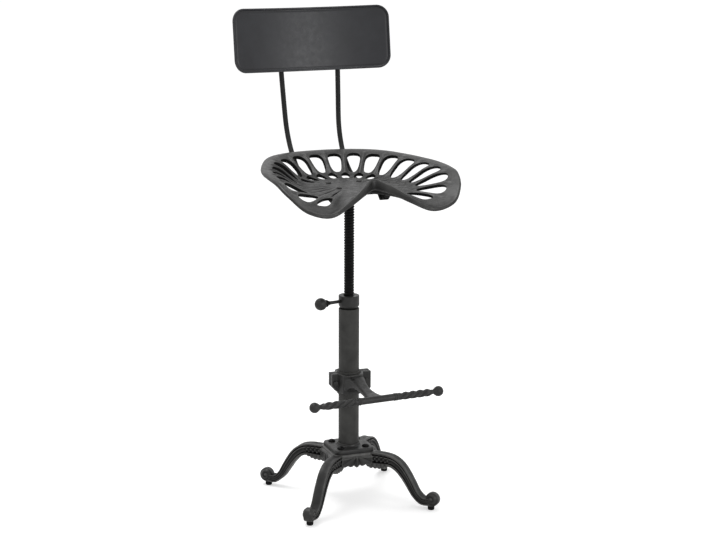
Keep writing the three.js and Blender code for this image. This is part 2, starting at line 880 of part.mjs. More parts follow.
function addBracket() {
  const plate = block(
    -bracketHalfWidth,
    bracketHalfWidth,
    bracketThickness / 2 - bracketReach,
    bracketReach - bracketThickness / 2,
    bracketBottom,
    bracketTop,
  );
  const [frontFlange, rearFlange] = [-bracketReach, bracketReach - bracketThickness].map((y) => {
    const flange = slab(flangeOutline(), 0, bracketThickness);
    flange.rotateX(Math.PI / 2);
    flange.translate(0, y + bracketThickness, 0);
    return flange;
  });
  const low = rodHeight - lugHalf;
  const tools = [upright(spindleRadius - threadDepth + fitGap, low, bracketTop + cutOverrun, 12)];
  for (const [x, y] of seatBoltPlaces()) {
    const hole = upright(seatBoltRadius + fitGap, bracketBottom - cutOverrun, bracketTop + cutOverrun, 12);
    hole.translate(x, y, 0);
    tools.push(hole);
  }
  for (const x of rodCrossings()) {
    const hole = upright(rodRadius + fitGap, -bracketReach - cutOverrun, bracketReach + cutOverrun, 16);
    hole.rotateX(Math.PI / 2);
    hole.translate(x, 0, rodHeight);
    tools.push(hole);
  }
  const body = joined(plate, frontFlange, rearFlange);
  addPiece('seat_bracket', cut(body, ...tools), darkFinish());

  const collarTop = bracketBottom - fitGap;
  const bore = spindleRadius - threadDepth + fitGap;
  addPiece('spindle_collar', turned([
    [bore, collarBottom + fitGap],
    [collarRadius * 0.9, collarBottom + fitGap],
    [collarRadius, collarBottom + fitGap + collarRadius * 0.1],
    [collarRadius, collarTop],
    [bore, collarTop],
    [bore, collarBottom + fitGap],
  ], 28), darkFinish());
}

// The seat casting

// Shares all round the rim, at even angles from the back (first) to the front (last).
const rimReachShares = [
  0.903, 0.906, 0.916, 0.923, 0.918, 0.901, 0.883, 0.88, 0.898, 0.929,
  0.972, 1.028, 1.105, 1.176, 1.189, 1.082, 0.939, 0.821, 0.699,
];
const rimRiseShares = [
  1, 1, 1, 1, 1, 0.991, 0.977, 0.966, 0.943, 0.932,
  0.909, 0.875, 0.773, 0.364, -0.227, -0.432, 0.045, 0.545, 0.795,
];
// Shares of the rim's rise from the middle out, for the bowl and for the front lobes.
const bowlShares = [0, 0, 0, 0, 0, 0.014, 0.114, 0.375, 0.7, 0.92, 1];
const lobeShares = [0, 0, 0, 0, 0, 0.03, 0.1, 0.25, 0.48, 0.76, 1];
const lipDropShares = [
  0.163, 0.163, 0.163, 0.163, 0.163, 0.163, 0.163, 0.163, 0.163, 0.163,
  0.163, 0.163, 0.163, 0.163, 0.163, 0.186, 0.279, 0.42, 0.56,
];
// Edges of the slots' sectors as shares of the half turn from the back to the front.
const sectorShares = [0, 0.089, 0.176, 0.268, 0.369, 0.472, 0.564, 0.642, 0.709, 0.769, 0.825];
// Each outer slot's inner and outer ends as shares of the rim's reach.
const slotInnerShares = [0.645, 0.635, 0.635, 0.625, 0.615, 0.615, 0.62, 0.63, 0.64, 0.63];
const slotOuterShares = [0.863, 0.87, 0.863, 0.885, 0.88, 0.885, 0.9, 0.9, 0.875, 0.81];
// The small inner slots, counted from the back.
const smallInnerShare = 0.41;
const smallSlots = 3;
const columnsPerSector = 4;
const rimMargin = 0.965;

// Smooth value between evenly spaced shares at a place from 0 to 1.
function shareAlong(shares, part) {
  const last = shares.length - 1;
  const place = part * last;
  const i = Math.min(Math.floor(place), last - 1);
  const t = place - i;
  const at = (k) => shares[k < 0 ? -k : (k > last ? 2 * last - k : k)];
  const [a, b, c, d] = [at(i - 1), at(i), at(i + 1), at(i + 2)];
  const bend = 2 * a - 5 * b + 4 * c - d;
  return b + 0.5 * t * (c - a + t * (bend + t * (3 * (b - c) + d - a)));
}

// Value of a table that runs from the back to the front, the same on both sides.
const shareAt = (shares, angle) => shareAlong(shares, Math.abs(angle) / Math.PI);

// Top of the pan at an angle from the back and a share of the rim's reach.
function panPoint(angle, share) {
  const reach = shareAt(rimReachShares, angle) * seatHalfWidth * share;
  const lobe = THREE.MathUtils.smoothstep(Math.abs(angle), lobeStart * deg, lobeEnd * deg);
  const bowl = shareAlong(bowlShares, Math.min(share, 1));
  const dip = shareAlong(lobeShares, Math.min(share, 1));
  const rise = shareAt(rimRiseShares, angle) * rimRise * THREE.MathUtils.lerp(bowl, dip, lobe);
  return new THREE.Vector3(reach * Math.sin(angle), reach * Math.cos(angle), panHeight + rise);
}

function panNormal(angle, share) {
  const step = 0.01;
  const near = Math.max(share, step * 4);
  const along = panPoint(angle, near + step).sub(panPoint(angle, near - step));
  const across = panPoint(angle + step, near).sub(panPoint(angle - step, near));
  return across.cross(along).normalize();
}

function panUnder(angle, share) {
  return panPoint(angle, share).addScaledVector(panNormal(angle, share), -panThickness);
}

function addSeat() {
  const sectorAngles = sectorShares.map((share) => share * Math.PI);
  const half = [];
  for (let i = 0; i < sectorAngles.length - 1; i += 1) {
    for (let c = 0; c < columnsPerSector; c += 1) {
      const part = c / columnsPerSector;
      half.push(THREE.MathUtils.lerp(sectorAngles[i], sectorAngles[i + 1], part));
    }
  }
  const frontColumns = 4;
  const frontStart = sectorAngles[sectorAngles.length - 1];
  for (let c = 0; c < frontColumns; c += 1) {
    half.push(THREE.MathUtils.lerp(frontStart, Math.PI, c / frontColumns));
  }
  const angles = [...half, Math.PI, ...half.slice(1).reverse().map((angle) => -angle)];
  const columns = angles.length;
  const sectorCount = sectorAngles.length - 1;

  const sectorValue = (shares, angle) => {
    const size = Math.abs(angle);
    for (let i = 0; i < sectorCount; i += 1) {
      if (size <= sectorAngles[i + 1]) {
        const middle = (sectorAngles[i] + sectorAngles[i + 1]) / 2;
        const next = size > middle ? i + 1 : i - 1;
        const other = Math.min(Math.max(next, 0), sectorCount - 1);
        const from = middle;
        const to = (sectorAngles[other] + sectorAngles[other + 1]) / 2;
        const part = other === i ? 0 : (size - from) / (to - from);
        return THREE.MathUtils.lerp(shares[i], shares[other], Math.min(Math.max(part, 0), 1));
      }
    }
    return shares[sectorCount - 1];
  };

  const slotRows = 4;
  const smallRows = 3;
  const innerRows = [0.2, 0.36];
  // Shares of the reach at each row of a column, from the middle to the rim.
  const rowShares = (angle) => {
    const inner = sectorValue(slotInnerShares, angle) * 0.96;
    const outer = Math.min(sectorValue(slotOuterShares, angle) * 1.025, rimMargin);
    const small = Math.min(smallInnerShare, inner - 0.05);
    const rows = [...innerRows.map((share) => share * inner / slotInnerShares[0])];
    for (let r = 0; r < smallRows; r += 1) {
      rows.push(THREE.MathUtils.lerp(small * 0.97, inner, r / smallRows));
    }
    for (let r = 0; r < slotRows; r += 1) {
      rows.push(THREE.MathUtils.lerp(inner, outer, r / slotRows));
    }
    rows.push(outer, (outer + 1) / 2, 1);
    return rows;
  };
  const grid = angles.map(rowShares);
  const rowCount = grid[0].length;
  const firstSmall = innerRows.length;
  const firstSlot = firstSmall + smallRows;
  const lastSlot = firstSlot + slotRows;

  const positions = [];
  const index = [];
  const keep = (point) => {
    positions.push(point.x, point.y, point.z);
    return positions.length / 3 - 1;
  };

  // Ribs stand a little proud between the slots.
  const topOf = (angle, share, proud) => panPoint(angle, share)
    .addScaledVector(panNormal(angle, share), proud);
  const top = grid.map((rows, c) => rows.map((share, r) => {
    const onRib = r > firstSlot && r < lastSlot && c % columnsPerSector === 0 ? ribRise : 0;
    return keep(topOf(angles[c], share, onRib));
  }));
  const under = grid.map((rows, c) => rows.map((share) => keep(panUnder(angles[c], share))));
  const topMiddle = keep(topOf(0, 0, 0));
  const underMiddle = keep(new THREE.Vector3(0, 0, panHeight - panThickness));

  const quad = (a, b, c, d) => index.push(a, b, c, a, c, d);
  const blocks = new Set();
  const block4 = (start, r0, r1) => {
    const cells = [];
    for (let c = 0; c < columnsPerSector; c += 1) {
      for (let r = r0; r < r1; r += 1) {
        const column = (start + c + columns) % columns;
        cells.push(`${column}/${r}`);
      }
    }
    return cells;
  };

  // The opening in a block of cells, drawn as a rounded outline, narrower at its inner end.
  const pierce = (start, r0, r1, widthShares, lengthShares) => {
    block4(start, r0, r1).forEach((cell) => blocks.add(cell));
    const around = [];
    for (let c = 0; c < columnsPerSector; c += 1) around.push([c, 0]);
    for (let r = 0; r < r1 - r0; r += 1) around.push([columnsPerSector, r]);
    for (let c = columnsPerSector; c > 0; c -= 1) around.push([c, r1 - r0]);
    for (let r = r1 - r0; r > 0; r -= 1) around.push([0, r]);
    const columnAt = (c) => (start + c + columns) % columns;
    const angleAt = (a) => {
      const from = angles[columnAt(0)];
      const to = from + spanOf(columnAt(0), columnAt(columnsPerSector));
      return THREE.MathUtils.lerp(from, to, (a + 1) / 2);
    };
    const spanOf = (from, to) => {
      const span = angles[to] - angles[from];
      return span < 0 ? span + 2 * Math.PI : span;
    };
    const shareOf = (a, b) => {
      const place = (a + 1) / 2 * columnsPerSector;
      const c = Math.min(Math.floor(place), columnsPerSector - 1);
      const part = place - c;
      const low = THREE.MathUtils.lerp(grid[columnAt(c)][r0], grid[columnAt(c + 1)][r0], part);
      const high = THREE.MathUtils.lerp(grid[columnAt(c)][r1], grid[columnAt(c + 1)][r1], part);
      return THREE.MathUtils.lerp(low, high, (b + 1) / 2);
    };
    const outline = around.map(([c, r]) => {
      const a = c / columnsPerSector * 2 - 1;
      const b = r / (r1 - r0) * 2 - 1;
      const power = 3;
      const size = (Math.abs(a) ** power + Math.abs(b) ** power) ** (1 / power);
      const y = b / size * (b < 0 ? lengthShares[0] : lengthShares[1]);
      const width = THREE.MathUtils.lerp(widthShares[0], widthShares[1], (y + 1) / 2);
      return [a / size * width, y];
    });
    const rimTop = around.map(([c, r]) => top[columnAt(c)][r0 + r]);
    const rimUnder = around.map(([c, r]) => under[columnAt(c)][r0 + r]);
    const holeTop = outline.map(([a, b]) => keep(topOf(angleAt(a), shareOf(a, b), 0)));
    const holeUnder = outline.map(([a, b]) => keep(panUnder(angleAt(a), shareOf(a, b))));
    for (let i = 0; i < around.length; i += 1) {
      const j = (i + 1) % around.length;
      quad(rimTop[i], rimTop[j], holeTop[j], holeTop[i]);
      quad(rimUnder[i], holeUnder[i], holeUnder[j], rimUnder[j]);
      quad(holeTop[i], holeTop[j], holeUnder[j], holeUnder[i]);
    }
  };

  // Rib width turned into the share of a sector that its slot fills, at an inner and an outer end.
  const slotWidths = (i) => {
    const span = sectorAngles[i + 1] - sectorAngles[i];
    const middle = (sectorAngles[i] + sectorAngles[i + 1]) / 2;
    const reach = shareAt(rimReachShares, middle) * seatHalfWidth;
    const ribAt = (share) => 1 - slotGap / (span * reach * share);
    return [Math.max(ribAt(slotInnerShares[i]) * 0.95, 0.2), Math.max(ribAt(slotOuterShares[i]), 0.35)];
  };
  for (let i = 0; i < sectorCount; i += 1) {
    const widths = slotWidths(i);
    const lengths = [0.94, 0.94];
    pierce(i * columnsPerSector, firstSlot, lastSlot, widths, lengths);
    const mirrored = columns - (i + 1) * columnsPerSector;
    pierce(mirrored, firstSlot, lastSlot, widths, lengths);
  }
  for (let i = -smallSlots; i <= smallSlots; i += 1) {
    const start = i * columnsPerSector - columnsPerSector / 2;
    pierce((start + columns) % columns, firstSmall, firstSlot, [0.5, 0.72], [0.76, 0.84]);
  }

  for (let c = 0; c < columns; c += 1) {
    const d = (c + 1) % columns;
    index.push(topMiddle, top[d][0], top[c][0]);
    index.push(underMiddle, under[c][0], under[d][0]);
    for (let r = 0; r < rowCount - 1; r += 1) {
      if (blocks.has(`${c}/${r}`)) continue;
      quad(top[c][r], top[d][r], top[d][r + 1], top[c][r + 1]);
      quad(under[c][r], under[c][r + 1], under[d][r + 1], under[d][r]);
    }
  }

  // The rim rolls over outwards into a lip, deepest at the front.
  const lipRings = [[0.75, 0.12], [1, 0.4], [0.85, 1], [-0.35, 1]].map(([out, down]) => (
    angles.map((angle) => {
      const crest = panPoint(angle, 1);
      const step = 0.02;
      const along = panPoint(angle + step, 1).sub(panPoint(angle - step, 1));
      const outward = new THREE.Vector3(-along.y, along.x, 0).normalize();
      const drop = shareAt(lipDropShares, angle) * rimRise;
      return keep(crest.addScaledVector(outward, lipReach * out).add(new THREE.Vector3(0, 0, -drop * down)));
    })
  ));
  const last = rowCount - 1;
  const rims = [top.map((rows) => rows[last]), ...lipRings, under.map((rows) => rows[last])];
  for (let r = 0; r < rims.length - 1; r += 1) {
    for (let c = 0; c < columns; c += 1) {
      const d = (c + 1) % columns;
      quad(rims[r][c], rims[r][d], rims[r + 1][d], rims[r + 1][c]);
    }
  }

  const shell = new THREE.BufferGeometry();
  shell.setAttribute('position', new THREE.Float32BufferAttribute(positions, 3));
  shell.setIndex(index);
  const holes = seatBoltPlaces().map(([x, y]) => {
    const hole = upright(
      seatBoltRadius + fitGap,
      panHeight - panThickness - cutOverrun,
      panHeight + cutOverrun,
      12,
    );
    hole.translate(x, y, 0);
    return hole;
  });
  addPiece('seat_casting', cut(shell, ...holes), castFinish());

  seatBoltPlaces().forEach(([x, y], i) => {
    const rise = panPoint(Math.atan2(x, y), Math.hypot(x, y) / seatHalfWidth).z - panHeight;
    const headUnder = panHeight + rise + fitGap;
    const nut = hexNut(seatBoltRadius);
    const nutBottom = bracketBottom - fitGap - nutHeightOf(seatBoltRadius);
    nut.translate(x, y, nutBottom);
    addPiece(`seat_nut_${i + 1}`, nut, darkFinish());
    const bolt = domeBolt(seatBoltRadius, headUnder - nutBottom + fitGap);
    bolt.translate(x, y, headUnder);
    addPiece(`seat_bolt_${i + 1}`, bolt, darkFinish());
  });
}

// The backrest on its two rods

// Middle of the backrest's back face at a height, on the line of the rods.
const backRadius = ((backWidth / 2) ** 2 + backSagitta ** 2) / (2 * backSagitta);

// A point of the backrest from its place across, up the slope and through its thickness.
function backPoint(across, up, through) {
  const turn = across / backRadius;
  const reach = backRadius + through;
  const x = reach * Math.sin(turn);
  const forward = backSagitta - backRadius + reach * Math.cos(turn);
  const lean = backLean * deg;
  return new THREE.Vector3(
    x,
    backEdgeForward + forward * Math.cos(lean) + up * Math.sin(lean),
    backBottom - forward * Math.sin(lean) + up * Math.cos(lean),
  );
}

const backCornerSteps = 5;

// Points round a rounded rectangle, each as a place across and up.
function backRing(inset) {
  const corner = Math.max(backCorner - inset, backCorner * 0.15);
  const [x, y] = [backWidth / 2 - inset, backHeight / 2 - inset];
  const points = [];
  const flatSteps = 8;
  const ends = [[1, -1, -90], [1, 1, 0], [-1, 1, 90], [-1, -1, 180]];
  ends.forEach(([sx, sy, start], side) => {
    for (let i = 0; i <= backCornerSteps; i += 1) {
      const angle = (start + i * 90 / backCornerSteps) * deg;
      points.push([
        sx * (x - corner) + corner * Math.cos(angle),
        sy * (y - corner) + corner * Math.sin(angle),
      ]);
    }
    const steps = side % 2 ? flatSteps : 2;
    const from = points[points.length - 1];
    const next = ends[(side + 1) % ends.length];
    const angle = next[2] * deg;
    const to = [
      next[0] * (x - corner) + corner * Math.cos(angle),
      next[1] * (y - corner) + corner * Math.sin(angle),
    ];
    for (let i = 1; i < steps; i += 1) {
      points.push([
        THREE.MathUtils.lerp(from[0], to[0], i / steps),
        THREE.MathUtils.lerp(from[1], to[1], i / steps),
      ]);
    }
  });
  return points;
}

function backrestGeometry() {
  const core = backHeight / 2;
  const flat = backBeadWidth * 1.6;
  const ringSeam = backCornerSteps + 1;
  // Insets from the edge and places through the sheet, back face first.
  const profile = [
    [core * 0.97, backThickness],
    [core * 0.7, backThickness],
    [core * 0.35, backThickness],
    [0, backThickness],
    [0, 0],
    [backBeadWidth * 0.25, -backBead],
    [backBeadWidth, -backBead],
    [flat, 0],
    [core * 0.35, 0],
    [core * 0.7, 0],
    [core * 0.97, 0],
  ];
  const rings = profile.map(([inset, through]) => (
    backRing(inset).map(([across, up]) => backPoint(across, up + backHeight / 2, through))
  ));
  return skin(rings, ringSeam);
}

// A rod's middle line: level under the seat, a bend up behind it, then up the backrest's back.
function rodLine(side) {
  const points = [];
  const lean = rodLean * deg;
  const bendEnd = Math.PI / 2 - lean;
  const offset = backThickness + rodRadius + fitGap;
  const middleOf = (up) => backPoint(rodTopSpread, up, offset);
  const foot = middleOf(0);
  const spreadAt = (height) => THREE.MathUtils.lerp(
    rodSpread,
    foot.x,
    Math.min(1, (height - rodHeight) / (foot.z - rodHeight)),
  );
  const put = (y, z) => points.push(new THREE.Vector3(side * spreadAt(z), y, z));
  const levelSteps = 4;
  for (let i = 0; i < levelSteps; i += 1) {
    put(THREE.MathUtils.lerp(-rodFrontEnd, rodBendStart, i / levelSteps), rodHeight);
  }
  const bendSteps = 7;
  for (let i = 0; i <= bendSteps; i += 1) {
    const angle = bendEnd * i / bendSteps;
    put(rodBendStart + rodBend * Math.sin(angle), rodHeight + rodBend * (1 - Math.cos(angle)));
  }
  const upSteps = 4;
  const top = (rodTop - backBottom) / Math.cos(backLean * deg);
  for (let i = 0; i <= upSteps; i += 1) {
    const place = middleOf(top * i / upSteps);
    put(place.y, place.z);
  }
  return new THREE.CatmullRomCurve3(points, false, 'centripetal');
}

function rodGeometry(side) {
  const sides = 8;
  const section = new THREE.Shape();
  for (let i = 0; i < sides; i += 1) {
    const angle = i * 2 * Math.PI / sides;
    const [x, y] = [rodRadius * Math.cos(angle), rodRadius * Math.sin(angle)];
    if (i) section.lineTo(x, y);
    else section.moveTo(x, y);
  }
  return new THREE.ExtrudeGeometry(section, {
    steps: 30,
    bevelEnabled: false,
    extrudePath: rodLine(side),
  });
}

// A pressed saddle that holds a rod against the backrest's back.
function saddleGeometry(side) {
  const hump = rodRadius + runningGap;
  const outer = hump + saddleThickness;
  const half = saddleWidth / 2;
  const base = backThickness + fitGap;
  const humpSteps = 6;
  const inner = [];
  const outside = [];
  for (let i = 0; i <= humpSteps; i += 1) {
    const angle = Math.PI * i / humpSteps;
    const rodMiddle = backThickness + rodRadius + fitGap;
    inner.push([-hump * Math.cos(angle), rodMiddle + hump * Math.sin(angle)]);
    outside.push([-outer * Math.cos(angle), rodMiddle + outer * Math.sin(angle)]);
  }
  const outline = [
    [-half, base],
    [-hump, base],
    ...inner,
    [hump, base],
    [half, base],
    [half, base + saddleThickness],
    [outer, base + saddleThickness],
    ...outside.reverse(),
    [-outer, base + saddleThickness],
    [-half, base + saddleThickness],
  ];
  const low = (backHeight - saddleHeight) / 2;
  const shape = polygon(outline);
  const flat = slab(shape, low, low + saddleHeight);
  const spread = side * rodTopSpread;
  const place = flat.attributes.position;
  for (let i = 0; i < place.count; i += 1) {
    const point = backPoint(spread + place.getX(i), place.getZ(i), place.getY(i));
    place.setXYZ(i, point.x, point.y, point.z);
  }
  return flat;
}

// A screw through a saddle's foot into the backrest, at a place across and up.
function saddleScrew(across, up, tool) {
  const head = backThickness + fitGap * 2 + saddleThickness;
  const reach = tool ? cutOverrun : 0;
  const radius = saddleScrewRadius + (tool ? fitGap : 0);
  const length = saddleThickness + fitGap * 2 + backThickness * 0.6;
  const shape = tool
    ? upright(radius, -length - fitGap, reach * 2, 10)
    : domeBolt(saddleScrewRadius, length);
  const middle = backPoint(across, up, head);
  const outward = backPoint(across, up, head + backThickness).sub(middle).normalize();
  const turn = new THREE.Quaternion().setFromUnitVectors(new THREE.Vector3(0, 0, 1), outward);
  shape.applyQuaternion(turn);
  shape.translate(middle.x, middle.y, middle.z);
  return shape;
}

function addBackrest() {
  const screwPlaces = [];
  for (const [name, side] of [['left', -1], ['right', 1]]) {
    const offset = saddleWidth / 2 - saddleScrewRadius * 3;
    screwPlaces.push([`${name}_upper`, side, offset, (backHeight + saddleHeight / 2) / 2]);
    screwPlaces.push([`${name}_lower`, side, -offset, (backHeight - saddleHeight / 2) / 2]);
  }
  const toolFor = ([, side, offset, up]) => saddleScrew(side * rodTopSpread + offset, up, true);
  const tools = screwPlaces.map(toolFor);
  addPiece('backrest', cut(backrestGeometry(), ...tools), sheetFinish());

  for (const [name, side] of [['left', -1], ['right', 1]]) {
    addPiece(`backrest_rod_${name}`, rodGeometry(side), darkFinish());
    const own = screwPlaces.filter(([, s]) => s === side).map(toolFor);
    addPiece(`rod_saddle_${name}`, cut(saddleGeometry(side), ...own), darkFinish());

    const inner = -bracketReach + bracketThickness + fitGap;
    const outerFace = -bracketReach - fitGap;
    for (const [where, y, way] of [['front', outerFace, 1], ['inner', inner, -1]]) {
      const nut = hexNut(rodRadius);
      nut.rotateZ(Math.PI / 6);
      nut.rotateX(way * Math.PI / 2);
      nut.translate(side * rodSpread, y, rodHeight);
      addPiece(`rod_nut_${where}_${name}`, nut, darkFinish());
    }
  }
  for (const [name, side, offset, up] of screwPlaces) {
    const screw = saddleScrew(side * rodTopSpread + offset, up, false);
    addPiece(`saddle_screw_${name}`, screw, darkFinish());
  }
}

addBase();
addColumn();
addSpindle();
addLock();
addFootRest();
addBracket();
addSeat();
addBackrest();

// The origin is on the floor, under the middle of the whole stool.
const middle = new THREE.Box3().setFromObject(stool).getCenter(new THREE.Vector3());
stool.position.set(-middle.x, -middle.y, 0);

export default stool;
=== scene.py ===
# A tractor seat stool in black painted iron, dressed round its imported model
import math

import bmesh
import bpy
import numpy as np
from mathutils import Matrix, Vector


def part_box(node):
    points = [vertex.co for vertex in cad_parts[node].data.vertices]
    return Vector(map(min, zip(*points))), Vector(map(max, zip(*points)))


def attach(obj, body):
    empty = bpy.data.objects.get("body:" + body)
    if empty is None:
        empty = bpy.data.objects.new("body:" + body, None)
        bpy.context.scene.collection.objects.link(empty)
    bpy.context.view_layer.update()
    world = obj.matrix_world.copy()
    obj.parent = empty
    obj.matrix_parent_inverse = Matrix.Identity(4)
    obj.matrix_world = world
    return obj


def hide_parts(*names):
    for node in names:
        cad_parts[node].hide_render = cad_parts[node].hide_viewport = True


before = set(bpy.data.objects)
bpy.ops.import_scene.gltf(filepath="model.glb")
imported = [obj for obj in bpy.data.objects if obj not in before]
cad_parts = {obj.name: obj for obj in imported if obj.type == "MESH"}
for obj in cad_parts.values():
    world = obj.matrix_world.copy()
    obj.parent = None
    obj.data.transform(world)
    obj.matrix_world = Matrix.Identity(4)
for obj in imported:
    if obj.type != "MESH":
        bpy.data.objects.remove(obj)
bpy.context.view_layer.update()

print("stool: frame loaded")

mergeGap = 2e-6  # points nearer than this are one point
fitGap = 0.0003  # left between pieces that touch
fullTurn = 2 * math.pi


def middleOf(node):
    # halfway between the corners of the node's box
    low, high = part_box(node)
    return (np.array(low) + np.array(high)) / 2


def heightsOf(node):
    # the lowest and the highest z of the node's box
    low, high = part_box(node)
    return low[2], high[2]


columnAt = middleOf("column_tube") * [1, 1, 0]  # where the column's axis meets the floor


# Shapes as grids of points. A solid is its points and its groups of faces: a group is an array of
# places in the points, with the number of its finish.

def gridFaces(rows, columns, closeRows=False):
    # one four-sided face between each two neighbours in both directions; the columns close a ring
    i = np.arange(rows if closeRows else rows - 1)[:, None]
    j = np.arange(columns)[None, :]
    down, beside = (i + 1) % rows, (j + 1) % columns
    corners = [i * columns + j, i * columns + beside, down * columns + beside, down * columns + j]
    return np.stack(corners, -1).reshape(-1, 4)


def ringFaces(first, second):
    # four-sided faces between two closed rings of places
    return np.stack([first, np.roll(first, -1), np.roll(second, -1), second], -1)


def fanFaces(middle, ring):
    # triangles between one middle point and a closed ring of places
    return np.stack([np.full(len(ring), middle), ring, np.roll(ring, -1)], -1)


def capped(rings):
    # a tube through the rings, each end closed by triangles about the middle of its last ring
    rows, columns = rings.shape[:2]
    points = np.concatenate([rings.reshape(-1, 3), rings[0].mean(0)[None], rings[-1].mean(0)[None]])
    ring = np.arange(columns)
    start = fanFaces(rows * columns, ring[::-1])
    end = fanFaces(rows * columns + 1, ring + (rows - 1) * columns)
    return points, [(gridFaces(rows, columns), 0), (start, 0), (end, 0)]


def looped(rings):
    # a ring-shaped solid: the last row of points joins the first
    return rings.reshape(-1, 3), [(gridFaces(*rings.shape[:2], closeRows=True), 0)]


def joined(solids):
    # the points of all the solids in one list, with each one's places moved on past those before it
    starts = np.cumsum([0] + [len(points) for points, _ in solids])
    groups = [
        (faces + start, finish)
        for start, (_, own) in zip(starts, solids)
        for faces, finish in own
    ]
    return np.concatenate([points for points, _ in solids]), groups


def softened(corners, reach, steps=5, closed=False):
    # each corner becomes a quadratic curve that starts and ends a reach away from it,
    # or at a third of the way to the next corner if that is nearer
    corners = np.asarray(corners, float)
    toBefore, toAfter = np.roll(corners, 1, 0) - corners, np.roll(corners, -1, 0) - corners
    lengthBefore = np.linalg.norm(toBefore, axis=1, keepdims=True)
    lengthAfter = np.linalg.norm(toAfter, axis=1, keepdims=True)
    start = corners + toBefore * np.minimum(reach / lengthBefore, 0.33)
    end = corners + toAfter * np.minimum(reach / lengthAfter, 0.33)
    t = np.linspace(0, 1, steps + 1)[None, :, None]
    curves = (1 - t) ** 2 * start[:, None] + 2 * t * (1 - t) * corners[:, None] + t ** 2 * end[:, None]
    if closed:
        return curves.reshape(-1, corners.shape[1])
    inner = curves[1:-1].reshape(-1, corners.shape[1])
    return np.concatenate([corners[:1], inner, corners[-1:]])


def turnAngles(count):
    # a full turn in even steps
    return np.arange(count) * fullTurn / count


def polar(reach, angle, height):
    # points at a reach, an angle and a height about the z axis
    return np.stack(np.broadcast_arrays(reach * np.cos(angle), reach * np.sin(angle), height), -1)


def turned(profile, sides=64):
    # a profile of radius and height carried round the z axis
    profile = np.asarray(profile, float)
    return polar(profile[:, :1], turnAngles(sides), profile[:, 1:])


def placed(points, middle, up):
    # points drawn about the z axis, stood at a middle with z along a level direction
    up = Vector(up).normalized()
    side = Vector((0, 0, 1)).cross(up).normalized()
    return points @ np.array([side, up.cross(side), up]) + np.asarray(middle)


def onColumn(points):
    # points drawn about the z axis, moved to the column's axis
    return points + columnAt


def spun(points, angle):
    # points turned about the z axis
    cosine, sine = math.cos(angle), math.sin(angle)
    return points @ np.array([[cosine, sine, 0], [-sine, cosine, 0], [0, 0, 1]])


def along(shares, part):
    # a smooth cubic between evenly spaced shares, which are mirrored past both ends
    shares = np.asarray(shares, float)
    last = len(shares) - 1
    place = np.clip(part, 0, 1) * last
    i = np.minimum(place.astype(int), last - 1)
    t = place - i

    def at(k):
        # the share at a place, mirrored past both ends
        return shares[np.where(k < 0, -k, np.where(k > last, 2 * last - k, k))]

    a, b, c, d = at(i - 1), at(i), at(i + 1), at(i + 2)
    return b + 0.5 * t * (c - a + t * (2 * a - 5 * b + 4 * c - d + t * (3 * (b - c) + d - a)))


def step(low, high, value):
    # smooth rise from 0 at low to 1 at high
    t = np.clip((value - low) / (high - low), 0, 1)
    return t * t * (3 - 2 * t)


def unit(vectors):
    # each vector over its own length
    return vectors / np.maximum(np.linalg.norm(vectors, axis=-1, keepdims=True), 1e-12)


# Putting pieces in

cornerRule = {"flat": math.radians(1), "sharp": math.radians(32)}  # what is merged and what is rounded


def standIn(name, mesh, body, nodes):
    # the mesh as an object that rides its body in the place of its nodes
    piece = bpy.data.objects.new(name, mesh)
    bpy.context.scene.collection.objects.link(piece)
    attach(piece, body)
    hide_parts(*nodes)
    return piece


def tidied(mesh):
    # doubled points merged, faces without area dropped and every face turned outwards
    shape = bmesh.new()
    shape.from_mesh(mesh)
    bmesh.ops.remove_doubles(shape, verts=shape.verts, dist=mergeGap)
    bmesh.ops.dissolve_degenerate(shape, edges=shape.edges, dist=mergeGap)
    bmesh.ops.recalc_face_normals(shape, faces=shape.faces)
    shape.to_mesh(mesh)
    shape.free()


def addPiece(name, solid, looks, body, nodes):
    # the solid as a mesh, each group of faces in the look that its number picks
    points, groups = solid
    mesh = bpy.data.meshes.new(name)
    mesh.from_pydata(points.tolist(), [], [face for faces, _ in groups for face in faces.tolist()])
    for look in looks:
        mesh.materials.append(look)
    finishes = np.repeat([finish for _, finish in groups], [len(faces) for faces, _ in groups])
    mesh.polygons.foreach_set("material_index", finishes.astype(np.int32))
    tidied(mesh)
    mesh.shade_smooth()
    return standIn(name, mesh, body, nodes)


def paintShadeAndHighlight(piece, spread, rounds, edges=1.0):
    # painted shade and highlight, kept with the mesh as its own attribute: how far each point stands out of
    # its evened-out surroundings along its normal, over a spread and through tanh, from -1 in a hollow to the
    # given most on an edge; the paint turns it into painted shade in hollows and painted highlight on edges
    mesh = piece.data
    count = len(mesh.vertices)
    points = np.empty(count * 3)
    mesh.vertices.foreach_get("co", points)
    points = points.reshape(-1, 3)
    pairs = np.empty(len(mesh.edges) * 2, int)
    mesh.edges.foreach_get("vertices", pairs)
    first, second = pairs.reshape(-1, 2).T
    neighbours = np.maximum(np.bincount(first, minlength=count) + np.bincount(second, minlength=count), 1)
    even = points.copy()
    for _ in range(rounds):
        total = np.stack([
            np.bincount(first, weights=even[second, axis], minlength=count)
            + np.bincount(second, weights=even[first, axis], minlength=count)
            for axis in range(3)
        ], -1)
        even = (even + total / neighbours[:, None]) / 2
    normals = np.empty(count * 3)
    mesh.vertices.foreach_get("normal", normals)
    proud = ((points - even) * normals.reshape(-1, 3)).sum(1)
    shadeAndHighlight = mesh.attributes.new("shadeAndHighlight", "FLOAT", "POINT")
    shadeAndHighlight.data.foreach_set("value", np.tanh(proud / spread) * np.where(proud > 0, edges, 1))


